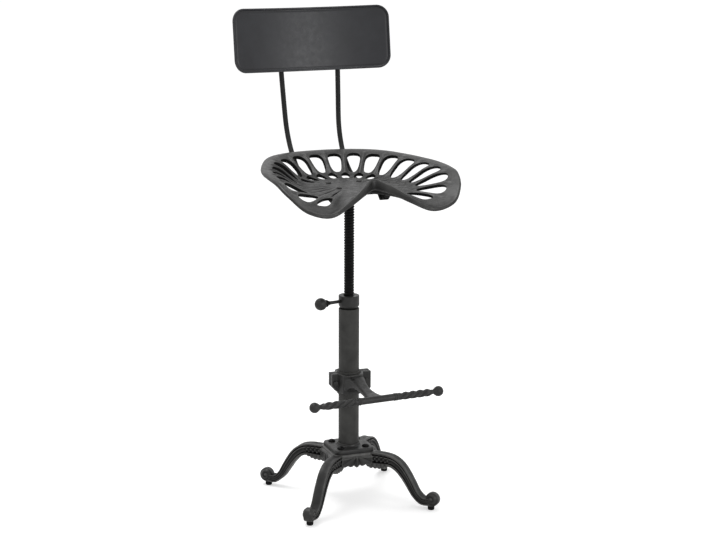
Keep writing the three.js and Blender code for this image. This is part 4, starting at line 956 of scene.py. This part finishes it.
leverLength = float(np.linalg.norm(ballAt - leverFoot))
shank = lever["radius"]
addPiece("lock_lever_smooth", alongLever([
    [shank, 0],
    [shank * 0.9, leverLength * 0.3],
    [shank, leverLength * 0.62],
    [shank, leverLength - lever["ball"] * 0.9],
], leverFoot), [castLook], "lock", ["lock_lever"])
ferruleStart = leverLength - lever["ball"] * 0.74 - lever["ferruleLength"]
ferruleProfile = softened([
    [shank * 1.02, 0],
    [shank * 1.3, 0],
    [shank * 1.3, lever["ferruleLength"] * 0.36],
    [lever["ferrule"] * 0.86, lever["ferruleLength"] * 0.44],
    [lever["ferrule"] * 0.9, lever["ferruleLength"] * 0.9],
    [shank * 1.02, lever["ferruleLength"]],
], lever["ferruleRounding"])
addPiece("lever_ferrule_smooth", alongLever(ferruleProfile, leverFoot + leverWay * ferruleStart),
         [blackLook], "lock", ["lever_ferrule"])
addPiece("lock_ball_smooth", alongLever(ballProfile(lever["ball"], shank), ballAt, 56),
         [castLook], "lock", ["lock_ball"])
print("stool: column, spindle and lock made")


# The foot bar, twisted towards both ends, with onion-shaped balls

bar = {
    "radius": 0.0072,
    "swell": 0.0008,  # added where it is twisted
    "ball": 0.0107,
    "neck": 0.0046,
    "neckFade": (0.016, 0.001),  # from the ball, where the bar thins to its neck
    "twistStart": 0.044,
    "twistGrow": 0.012,
    "pitch": 0.066,
    "lobe": 0.0023,
    "ring": 0.0009,
    "ringWidth": 0.0013,
    "ringPlaces": (0.0012, 0.0056),  # before the twist's start
    "rows": 420,
    "sides": 48,
}
leftBall, rightBall = middleOf("foot_bar_ball_left"), middleOf("foot_bar_ball_right")
barMiddle = (leftBall + rightBall) / 2
barWay = unit(rightBall - leftBall)
ballReach = float(np.linalg.norm(rightBall - leftBall)) / 2


def footBarSolid():
    # four lobes round the section, turning with the distance past the plain middle, two small rings
    # where they start, and a thinner neck beside each ball
    reach = ballReach - bar["ball"] * 0.86
    x = np.linspace(-reach, reach, bar["rows"])[:, None]
    angle = turnAngles(bar["sides"])
    past = np.abs(x) - bar["twistStart"]
    turn = -np.sign(x) * past / bar["pitch"] * fullTurn
    grow = step(0, bar["twistGrow"], past)
    lobes = bar["lobe"] * (1 - np.cos(4 * (angle - turn))) / 2 * grow
    thick = 1 - step(reach - bar["neckFade"][0], reach - bar["neckFade"][1], np.abs(x))
    humps = [np.exp(-((past + place) / bar["ringWidth"]) ** 2) for place in bar["ringPlaces"]]
    rings = bar["ring"] * sum(humps)
    radius = (bar["radius"] + bar["swell"] * grow + rings - lobes) * thick + bar["neck"] * (1 - thick)
    return capped(placed(polar(radius, angle, x), barMiddle, barWay))


def onionProfile():
    # a circle from its inner side to its far pole, after a neck that flares to meet it
    ball, neck = bar["ball"], bar["neck"]
    angle = np.linspace(math.radians(48), math.pi, 26)
    sphere = np.stack([ball * np.sin(angle), -ball * np.cos(angle)], -1)
    flare = np.array([[neck, -ball * 1.18], [neck * 1.12, -ball * 1.0], [neck * 1.5, -ball * 0.84]])
    return np.concatenate([flare, sphere])


footBar = addPiece("foot_bar_twisted", footBarSolid(), [castLook], "footrest", ["foot_bar"])
# painted shade in the bar's grooves and painted highlight on its lobes
paintShadeAndHighlight(footBar, 0.0007, 12, 0.5)
for sideName, centre, way in (("left", leftBall, -barWay), ("right", rightBall, barWay)):
    solid = capped(placed(turned(onionProfile(), 48), centre, way))
    addPiece("foot_bar_onion_" + sideName, solid, [castLook], "footrest",
             ["foot_bar_ball_" + sideName])


# The arm swells out of the clamp's front, arches over its own hollow underside and widens to the bar

arm = {
    "blockDepth": 0.0322,  # from the column's axis to where the clamp's block ends
    "reach": [0.027, 0.034, 0.043, 0.056, 0.075, 0.097, 0.114, 0.128],
    "halfWidth": [0.0235, 0.021, 0.0172, 0.0138, 0.0124, 0.0138, 0.0175, 0.0225],
    "above": [0.0215, 0.0205, 0.018, 0.0135, 0.0078, 0.0045, 0.0035, 0.003],  # top over the bar's middle
    "below": [-0.014, -0.008, -0.0015, 0.0005, -0.002, -0.004, -0.0048, -0.005],
    "squareness": 0.55,
    "voxel": 0.0009,
    "smoothing": 4,
    "rows": 60,
    "sides": 40,
}


def blockOf(node, front):
    # the node's own shape cut off in front of a plane across y, closed there and made triangles
    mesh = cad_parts[node].data.copy()
    shape = bmesh.new()
    shape.from_mesh(mesh)
    bmesh.ops.remove_doubles(shape, verts=shape.verts, dist=mergeGap)
    everything = shape.verts[:] + shape.edges[:] + shape.faces[:]
    cut = bmesh.ops.bisect_plane(shape, geom=everything, plane_co=(0, front, 0), plane_no=(0, -1, 0),
                                 clear_outer=True)["geom_cut"]
    bmesh.ops.holes_fill(shape, edges=[piece for piece in cut if isinstance(piece, bmesh.types.BMEdge)])
    bmesh.ops.triangulate(shape, faces=shape.faces[:])
    shape.to_mesh(mesh)
    shape.free()
    points = np.empty(len(mesh.vertices) * 3)
    mesh.vertices.foreach_get("co", points)
    corners = np.empty(len(mesh.polygons) * 3, int)
    mesh.polygons.foreach_get("vertices", corners)
    bpy.data.meshes.remove(mesh)
    return points.reshape(-1, 3), [(corners.reshape(-1, 3), 0)]


def armSolid():
    # superellipse sections stood across the line from the column to the bar's middle
    way = unit((barMiddle - columnAt) * [1, 1, 0])
    across = np.array([-way[1], way[0], 0])
    t = np.linspace(0, 1, arm["rows"])
    reach, half, above, below = (along(arm[key], t) for key in ("reach", "halfWidth", "above", "below"))
    angle = turnAngles(arm["sides"])
    c, s = np.cos(angle), np.sin(angle)
    x = np.sign(c) * np.abs(c) ** arm["squareness"] * half[:, None]
    z = np.sign(s) * np.abs(s) ** arm["squareness"] * ((above - below) / 2)[:, None]
    z = z + ((above + below) / 2)[:, None]
    middle = columnAt + way * reach[:, None] + [0, 0, barMiddle[2]]
    return capped(middle[:, None] + across * x[..., None] + np.array([0, 0, 1]) * z[..., None])


def fused(piece, voxel, smoothing):
    # one skin round all the piece's shells, evened out a little
    remesh = piece.modifiers.new("fuse", "REMESH")
    remesh.mode = "VOXEL"
    remesh.voxel_size = voxel
    remesh.use_smooth_shade = True
    even = piece.modifiers.new("even", "SMOOTH")
    even.factor = 0.5
    even.iterations = smoothing
    evaluated = piece.evaluated_get(bpy.context.evaluated_depsgraph_get())
    mesh = bpy.data.meshes.new_from_object(evaluated)
    piece.modifiers.clear()
    piece.data = mesh
    mesh.shade_smooth()


armWhole = joined([blockOf("clamp_arm", columnAt[1] - arm["blockDepth"]), armSolid()])
armPiece = addPiece("clamp_arm_cast", armWhole, [castLook], "footrest", ["clamp_arm"])
fused(armPiece, arm["voxel"], arm["smoothing"])
# painted shade in the arm's hollows and painted highlight on its edges
paintShadeAndHighlight(armPiece, 0.0008, 12)
print("stool: arm made,", len(armPiece.data.polygons), "faces")


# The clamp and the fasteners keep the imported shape, with corners rounded to these widths

rounded = {
    "clampRear": 0.0018,
    "clampBolt": 0.0005,
    "clampNut": 0.0005,
    "sleeve": 0.0004,
    "bracket": 0.0009,
    "seatNut": 0.0004,
    "seatBolt": 0.0005,
    "flangeNut": 0.0005,
}
bevelledCopy("clamp_rear", castLook, "footrest", rounded["clampRear"])
for sideName in ("left", "right"):
    bevelledCopy("clamp_bolt_" + sideName, castLook, "footrest", rounded["clampBolt"])
for sideName in ("left", "right"):
    bevelledCopy("clamp_nut_" + sideName, blackLook, "footrest", rounded["clampNut"])
bevelledCopy("footrest_sleeve", smoothLook, "sleeve", rounded["sleeve"], segments=2)
bevelledCopy("seat_bracket", blackLook, "seat", rounded["bracket"])
for i in range(1, 5):
    bevelledCopy(f"seat_nut_{i}", blackLook, "seat", rounded["seatNut"])
    bevelledCopy(f"seat_bolt_{i}", castLook, "seat", rounded["seatBolt"])
    bevelledCopy(f"flange_nut_{i}", blackLook, "base", rounded["flangeNut"])
print("stool: foot rest made")


# The flange: a rounded square that rises into a round boss

flange = {
    "half": 0.043,
    "corner": 0.011,
    "boss": 0.0243,
    "bossFoot": 0.004,  # how far the plate blends out round the boss
    "bossRise": 0.005,
    "bore": 0.0215,
    "lowerEdge": [(0.0012, 0), (0.0003, 0.0004), (0, 0.0014)],  # inset, and height over the underside
    "upperEdge": [(0, -0.0026), (0.0004, -0.0012), (0.0012, -0.0004), (0.0024, 0)],  # from the plate's top
    "bossEdge": [
        (0.0018, 0.0002), (0.0006, 0.0009), (0, 0.002),
        (-0.0001, 0.0036), (-0.0007, 0.0046), (-0.0018, 0.005),
    ],  # past the boss's radius, and height over the plate
    "plateShares": [0.75, 0.5, 0.25, 0.0],
    "sides": 160,
}


def squareReach(angle, half, corner):
    # distance from the middle to a rounded square's edge in each direction
    folded = np.abs((angle + math.pi / 4) % (math.pi / 2) - math.pi / 4)
    straight = half / np.cos(folded)
    inner = half - corner
    dot = inner * (np.cos(folded) + np.sin(folded))
    arc = dot + np.sqrt(np.maximum(dot ** 2 - 2 * inner ** 2 + corner ** 2, 0))
    return np.where(half * np.tan(folded) <= inner, straight, arc)


def flangeSolid():
    # rounded squares up the plate's edge, then rings that pass from square to round across its top,
    # up the boss and down the bore
    low, high = heightsOf("column_flange")
    plateTop = high - flange["bossRise"]
    angle = turnAngles(flange["sides"])

    def square(inset):
        # distance to the plate's edge, drawn in by an inset, with half of that off its corners
        return squareReach(angle, flange["half"] - inset, flange["corner"] - inset * 0.5)

    rows = [polar(square(inset), angle, low + up) for inset, up in flange["lowerEdge"]]
    rows += [polar(square(inset), angle, plateTop + up) for inset, up in flange["upperEdge"]]
    inner, outer = flange["boss"] + flange["bossFoot"], square(flange["upperEdge"][-1][0])
    rows += [polar(inner + (outer - inner) * share, angle, plateTop) for share in flange["plateShares"]]
    rows += [polar(flange["boss"] + out, angle, plateTop + up) for out, up in flange["bossEdge"]]
    rows += [polar(flange["bore"], angle, high), polar(flange["bore"], angle, low)]
    return looped(onColumn(np.stack(rows)))


addPiece("column_flange_cast", flangeSolid(), [castLook], "base", ["column_flange"])

domed = {
    "headHeight": 0.0046,
    "shank": 0.0036,
    "neck": 0.0038,
    "reach": 0.0074,
    "dome": [(1, 0), (1, 0.001), (0.92, 0.0022), (0.7, 0.0035), (0.4, 0.0043), (0, 0.0046)],
}


def domedBolt(node):
    # a shank under a low dome of shares of the head's reach and heights over the head's foot
    low, high = heightsOf(node)
    headLow = high - domed["headHeight"]
    dome = [[domed["reach"] * share, headLow + up] for share, up in domed["dome"]]
    rings = turned([[domed["shank"], low], [domed["neck"], headLow]] + dome, 32)
    solid = capped(rings + middleOf(node) * [1, 1, 0])
    return addPiece(node + "_domed", solid, [blackLook], "base", [node])


for i in range(1, 5):
    domedBolt(f"flange_bolt_{i}")


# The base: legs with scroll feet on a hub, and aprons between the legs

glide = {"radius": 0.007, "height": 0.008, "stem": 0.0034, "chamfer": 0.0016, "rounding": 0.0008}
base = {
    "hubHalf": 0.046,
    "hubHeight": 0.0235,
    "hubDeck": 0.01,
    "hubWall": 0.009,
    "hubCorner": 0.009,
    "hubEdge": 0.0015,
    "hubFootEdge": 0.001,
    "rootDepth": 0.025,
    "shinDepth": 0.019,
    "ankleDepth": 0.015,
    "ankleRelief": 0.7,
    "legWidth": 0.021,
    "leafPitch": 0.0095,
    "leafRise": 0.0034,
    "leafDrop": 0.0065,
    "leafStart": (0.02, 0.07),  # parts of the leg over which the hanging leaf comes and goes
    "leafEnd": (0.15, 0.3),
    "weaveStart": (0.03, 0.06),
    "weaveEnd": (0.24, 0.34),
    "beadRise": 0.0028,
    "scrollReach": 0.19,
    "scrollRadius": 0.0145,
    "scrollWidth": 0.022,
    "spiralPitch": 0.0078,
    "spiralDepth": 0.0026,
    "footInset": 0.0035,
    "padRadius": 0.00805,
    "padChamfer": 0.0008,
    "rows": 150,
}
apron = {
    "half": 0.0331,
    "thickness": 0.006,
    "scallops": 5,
    "scallopDrop": 0.0026,
    "middleDrop": 0.0022,
    "middleWidth": 0.011,
    "topDrop": 0.004,
    "footRise": 0.0008,
    "leaves": 4.5,
    "leafRise": 0.0021,
    "leafRoot": (0.004, 0.011),
    "endRise": 0.0012,
    "recess": 0.0016,
    "lowerBend": 0.0016,
    "upperBend": 0.002,
    "sunk": 0.0045,  # how far it goes into the hub
}
hubTop = heightsOf("column_flange")[0] - fitGap
hubBottom = hubTop - base["hubHeight"]
footLow = heightsOf("glide_left_front")[0] + glide["height"] + fitGap
legReachShares = [0.2, 0.33, 0.45, 0.54, 0.62, 0.69, 0.75, 0.81, 0.885, 0.965]
legRiseShares = [0.874, 0.885, 0.884, 0.85, 0.758, 0.61, 0.444, 0.276, 0.165, 0.162]
legDepthShares = [0, 0, 0.1, 0.25, 0.5, 0.9, 1, 1, 1, 1]
ankleShares = [0, 0, 0, 0, 0, 0, 0.4, 0.9, 1, 1]
# half of the leg's section as shares of half its depth and half its width: two beads under the top
# edge and one over the lower edge, with grooves beside a sunk side
legSectionShares = [
    [0.96, 0.25], [0.98, 0.6], [1, 0.84], [0.97, 0.94], [0.9, 1], [0.78, 1], [0.71, 0.96], [0.66, 0.8],
    [0.6, 0.76], [0.54, 0.8], [0.5, 0.93], [0.42, 0.97], [0.32, 0.95], [0.26, 0.86], [0.18, 0.8],
    [0, 0.77], [-0.2, 0.78], [-0.32, 0.8], [-0.39, 0.74], [-0.45, 0.72], [-0.51, 0.8], [-0.56, 0.94],
    [-0.66, 1], [-0.84, 1], [-0.94, 0.95], [-1, 0.82], [-1, 0.3],
]
legGrooves = [7, 8, 9, 18, 19, 20]  # places in the section that are sunk


def legRings():
    # the section carried along a smooth line of reach and rise, thinner towards the ankle; crossed
    # waves on the root's sides are its leaf tips, with beads along a lower edge that hangs lower
    part = np.linspace(0.03, 1, base["rows"])
    reach = along(legReachShares, part) * base["scrollReach"]
    rise = along(legRiseShares, part) * hubTop
    slopeReach, slopeRise = np.gradient(reach), np.gradient(rise)
    length = np.hypot(slopeReach, slopeRise)
    normal = np.stack([-slopeRise / length, 0 * reach, slopeReach / length], -1)
    ankle = along(ankleShares, part)
    depth = base["rootDepth"] + (base["shinDepth"] - base["rootDepth"]) * along(legDepthShares, part)
    depth = depth + (base["ankleDepth"] - depth) * ankle
    mould = np.array(legSectionShares)
    plain = np.stack([mould[:, 0], 1 - (1 - mould[:, 1]) * base["ankleRelief"]], -1)
    half = mould + (plain - mould) * ankle[:, None, None]
    section = np.concatenate([half, half[:, ::-1] * [1, -1]], 1)
    up = section[..., 0]
    middle = np.stack([reach, 0 * reach, rise], -1)
    upward = section[..., :1] * normal[:, None] * (depth / 2)[:, None, None]
    sideways = section[..., 1:] * np.array([0, -base["legWidth"] / 2, 0])

    travel = np.cumsum(length)[:, None]
    root = (step(*base["weaveStart"], part) * (1 - step(*base["weaveEnd"], part)))[:, None]
    height = up * (depth / 2)[:, None]
    wave = math.pi / base["leafPitch"]
    weave = np.abs(np.sin((travel + height) * wave) * np.sin((travel - height) * wave))
    bulge = base["leafRise"] * weave * root * step(-1.02, -0.7, up) * (np.abs(up) < 0.7)
    bead = base["beadRise"] * np.abs(np.sin(travel * wave)) * root * (up < -0.8)
    leaf = step(*base["leafStart"], part) * (1 - step(*base["leafEnd"], part))
    hang = base["leafDrop"] * leaf[:, None] * step(0.3, 0.95, -up)
    sideways = sideways + np.sign(sideways) * bulge[..., None]
    upward = upward - normal[:, None] * (bead + hang)[..., None]
    return middle[:, None] + upward + sideways


def legSolid():
    # the leg's rings, with the second look, painted shade, down its grooves on both sides
    rings = legRings()
    rows, columns = rings.shape[:2]
    sunk = np.zeros(columns, bool)
    sunk[legGrooves] = True
    sunk[columns - 2 - np.array(legGrooves)] = True
    sunk = np.tile(sunk, rows - 1)
    points, ((sides, _), *ends) = capped(rings)
    return points, [(sides[~sunk], 0), (sides[sunk], 1), *ends]


def scrollRings():
    # a fat wheel on its side with a spiral ridge on each face, from one face's middle to the other's
    radius, half = base["scrollRadius"], base["scrollWidth"] / 2
    bend = np.linspace(-1, 1, 81)[:, None] * math.pi / 2
    angle = turnAngles(84)
    reach = radius * np.abs(np.cos(bend)) ** 0.5
    wide = half * np.sign(np.sin(bend)) * np.abs(np.sin(bend)) ** 0.5
    spiral = np.cos(fullTurn * (reach / base["spiralPitch"] - angle / fullTurn))
    face = step(0.5, 0.72, np.abs(wide) / half)
    wide = wide - np.sign(wide) * face * base["spiralDepth"] * (1 - spiral) / 2 * (reach / radius) ** 0.4
    height = footLow + radius + reach * np.sin(angle)
    return np.stack([base["scrollReach"] + reach * np.cos(angle), wide, height], -1)


def padRings():
    # a short upright post from the glide up to the scroll's middle
    radius, top = base["padRadius"], footLow + base["scrollRadius"]
    rings = turned([[radius * 0.94, footLow], [radius, footLow + base["padChamfer"]], [radius, top]], 40)
    return rings + [base["scrollReach"] - base["footInset"], 0, 0]


def hubRings():
    # a cup upside down: hollow ceiling, inner wall, rim, outer wall and the top
    wall, edge, foot = base["hubWall"], base["hubEdge"], base["hubFootEdge"]
    angle = turnAngles(160)
    return np.stack([
        polar(squareReach(angle, base["hubHalf"] - inset, base["hubCorner"]), angle, height)
        for inset, height in (
            (wall, hubTop - base["hubDeck"]),
            (wall, hubBottom + foot),
            (wall - foot, hubBottom),
            (foot, hubBottom),
            (0, hubBottom + foot),
            (0, hubTop - edge),
            (edge, hubTop),
        )
    ])


def apronRings():
    # upright sections across the apron: its lower edge drops in scallops, deepest in the middle,
    # and leaves fan out over its face from a point above it
    half = apron["half"]
    x = np.linspace(-half, half, 91)
    scallop = np.abs(np.sin((x + half) / (2 * half) * apron["scallops"] * math.pi)) ** 0.8
    middle = np.exp(-(x / apron["middleWidth"]) ** 2)
    low = hubBottom + apron["footRise"] - scallop * (apron["scallopDrop"] + apron["middleDrop"] * middle)
    top = hubTop - apron["topDrop"]
    t = np.linspace(0, 1, 26)
    z = top + (low[:, None] - top) * t
    x = x[:, None] + 0 * z
    below = top + apron["topDrop"] - z
    leaf = np.abs(np.cos(np.arctan2(x, below) * apron["leaves"])) ** 0.7
    leaf = leaf * step(*apron["leafRoot"], np.hypot(x, below))
    border = step(0, 0.2, t) * (1 - step(0.88, 1, t))
    relief = apron["leafRise"] * leaf * border + apron["endRise"] * step(0.9, 0.96, 1 - np.abs(x) / half)
    bend = apron["lowerBend"] * step(0.9, 1, t) + apron["upperBend"] * (1 - step(0, 0.12, t))
    face = base["hubHalf"] + apron["thickness"] - apron["recess"] + relief - bend
    front = np.stack([x, -face, z], -1)
    rear = np.stack([x, 0 * z - base["hubHalf"] + apron["sunk"], z], -1)
    return np.concatenate([front, rear[:, ::-1]], 1)


def baseSolid():
    # the hub, and at each quarter turn a leg with its scroll and pad on the diagonal and an apron
    solids = [capped(hubRings())]
    for i in range(4):
        corner, side = (i + 0.5) * fullTurn / 4, i * fullTurn / 4
        for (points, groups), angle in (
            (legSolid(), corner),
            (capped(scrollRings()), corner),
            (capped(padRings()), corner),
            (capped(apronRings()), side),
        ):
            solids.append((spun(points, angle), groups))
    points, groups = joined(solids)
    return onColumn(points), groups


# the second look is painted shade down the legs' grooves
cast = addPiece("base_cast", baseSolid(), [castLook, shadeLook], "base", ["base_casting"])
# painted shade in the base's hollows and painted highlight on its edges and beads
paintShadeAndHighlight(cast, 0.0006, 10)
print("stool: base made,", len(cast.data.polygons), "faces")

for place in ("right_rear", "left_rear", "left_front", "right_front"):
    node = "glide_" + place
    low, high = heightsOf(node)
    profile = softened([
        [0, low],
        [glide["radius"] * 0.86, low],
        [glide["radius"], low + glide["chamfer"]],
        [glide["radius"], low + glide["height"]],
        [glide["stem"], low + glide["height"]],
        [glide["stem"], high],
        [0, high],
    ], glide["rounding"], 4)
    solid = capped(turned(profile, 40) + middleOf(node) * [1, 1, 0])
    addPiece(node + "_smooth", solid, [rubberLook], "base", [node])

for node, look in (
    ("thread_insert", blackLook),
    ("guide_bush", nylonLook),
    ("bush_washer", blackLook),
    ("bush_screw", blackLook),
):
    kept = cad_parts[node].data
    kept.materials.clear()
    kept.materials.append(look)


# Floor, light and camera

floor = {
    "size": 60.0,
    "drop": 0.0002,  # below the feet
    "tone": (0.8, 0.8, 0.8),
    "roughness": 0.9,
    "specular": 0.2,
    "lift": 0.42,  # its own light, seen by the camera alone
}
bpy.ops.mesh.primitive_plane_add(size=floor["size"], location=(0, 0, -floor["drop"]))
ground = bpy.context.object
ground.name = "floor"
groundLook = bpy.data.materials.new("pale floor")
groundLook.use_nodes = True
groundTree = groundLook.node_tree
groundShader = groundTree.nodes["Principled BSDF"]
groundShader.inputs["Base Color"].default_value = (*floor["tone"], 1)
groundShader.inputs["Roughness"].default_value = floor["roughness"]
groundShader.inputs["Specular IOR Level"].default_value = floor["specular"]
groundShader.inputs["Emission Color"].default_value = (1, 1, 1, 1)
groundPath = groundTree.nodes.new("ShaderNodeLightPath")
lift = worked(groundTree, "MULTIPLY", groundPath.outputs["Is Camera Ray"], floor["lift"])
groundTree.links.new(lift, groundShader.inputs["Emission Strength"])
ground.data.materials.append(groundLook)

sky = {"seen": 1.0, "shed": 0.75}  # strength as the camera and reflections see it, and as light
world = bpy.data.worlds.new("studio")
bpy.context.scene.world = world
world.use_nodes = True
skyTree = world.node_tree
background = skyTree.nodes["Background"]
background.inputs["Color"].default_value = (1, 1, 1, 1)
path = skyTree.nodes.new("ShaderNodeLightPath")
seen = worked(skyTree, "ADD", path.outputs["Is Camera Ray"], path.outputs["Is Glossy Ray"])
seen = worked(skyTree, "ADD", seen, path.outputs["Is Transmission Ray"], clamp=True)
strength = ranged(skyTree, seen, 0, 1, sky["shed"], sky["seen"])
skyTree.links.new(strength, background.inputs["Strength"])

lamps = {
    "overhead": {"place": (-0.3, 0.3, 2.9), "target": (0, 0, 0.5), "size": 1.8, "power": 42},
    "front": {"place": (1.15, -2.9, 1.2), "target": (0, 0, 0.75), "size": 1.0, "power": 18},
}
for name, lamp in lamps.items():
    light = bpy.data.lights.new(name, "AREA")
    light.shape = "DISK"
    light.size = lamp["size"]
    light.energy = lamp["power"]
    holder = bpy.data.objects.new(name, light)
    bpy.context.scene.collection.objects.link(holder)
    holder.location = lamp["place"]
    ray = Vector(lamp["target"]) - Vector(lamp["place"])
    holder.rotation_euler = ray.to_track_quat("-Z", "Y").to_euler()

camera = {
    "azimuth": math.radians(-20.8),
    "pitch": math.radians(12.84),
    "roll": math.radians(0.2),
    "height": 1.370,
    "distance": 3.876,
    "sideways": 0.0183,
    "focalPixels": 1950,
    "imageWidth": 716,
    "sensor": 36,
    "farthest": 30,
}
azimuth, pitch, roll = camera["azimuth"], camera["pitch"], camera["roll"]
right = Vector((math.cos(azimuth), math.sin(azimuth), 0))
ahead = Vector((-math.sin(azimuth), math.cos(azimuth), 0))
view = ahead * math.cos(pitch) - Vector((0, 0, math.sin(pitch)))
upward = right.cross(view)
tiltedRight = right * math.cos(roll) + upward * math.sin(roll)
tiltedUp = upward * math.cos(roll) - right * math.sin(roll)
eye = Vector(columnAt) - ahead * camera["distance"] + right * camera["sideways"]
eye.z = camera["height"]
lens = bpy.data.cameras.new("photo_view")
lens.sensor_fit = "HORIZONTAL"
lens.sensor_width = camera["sensor"]
lens.lens = camera["focalPixels"] / camera["imageWidth"] * lens.sensor_width
lens.clip_end = camera["farthest"]
viewer = bpy.data.objects.new("photo_view", lens)
bpy.context.scene.collection.objects.link(viewer)
turn = Matrix((tiltedRight, tiltedUp, -view)).transposed().to_4x4()
viewer.matrix_world = Matrix.Translation(eye) @ turn
bpy.context.scene.camera = viewer
bpy.context.scene.view_settings.view_transform = "Standard"
print("stool: camera and light set")
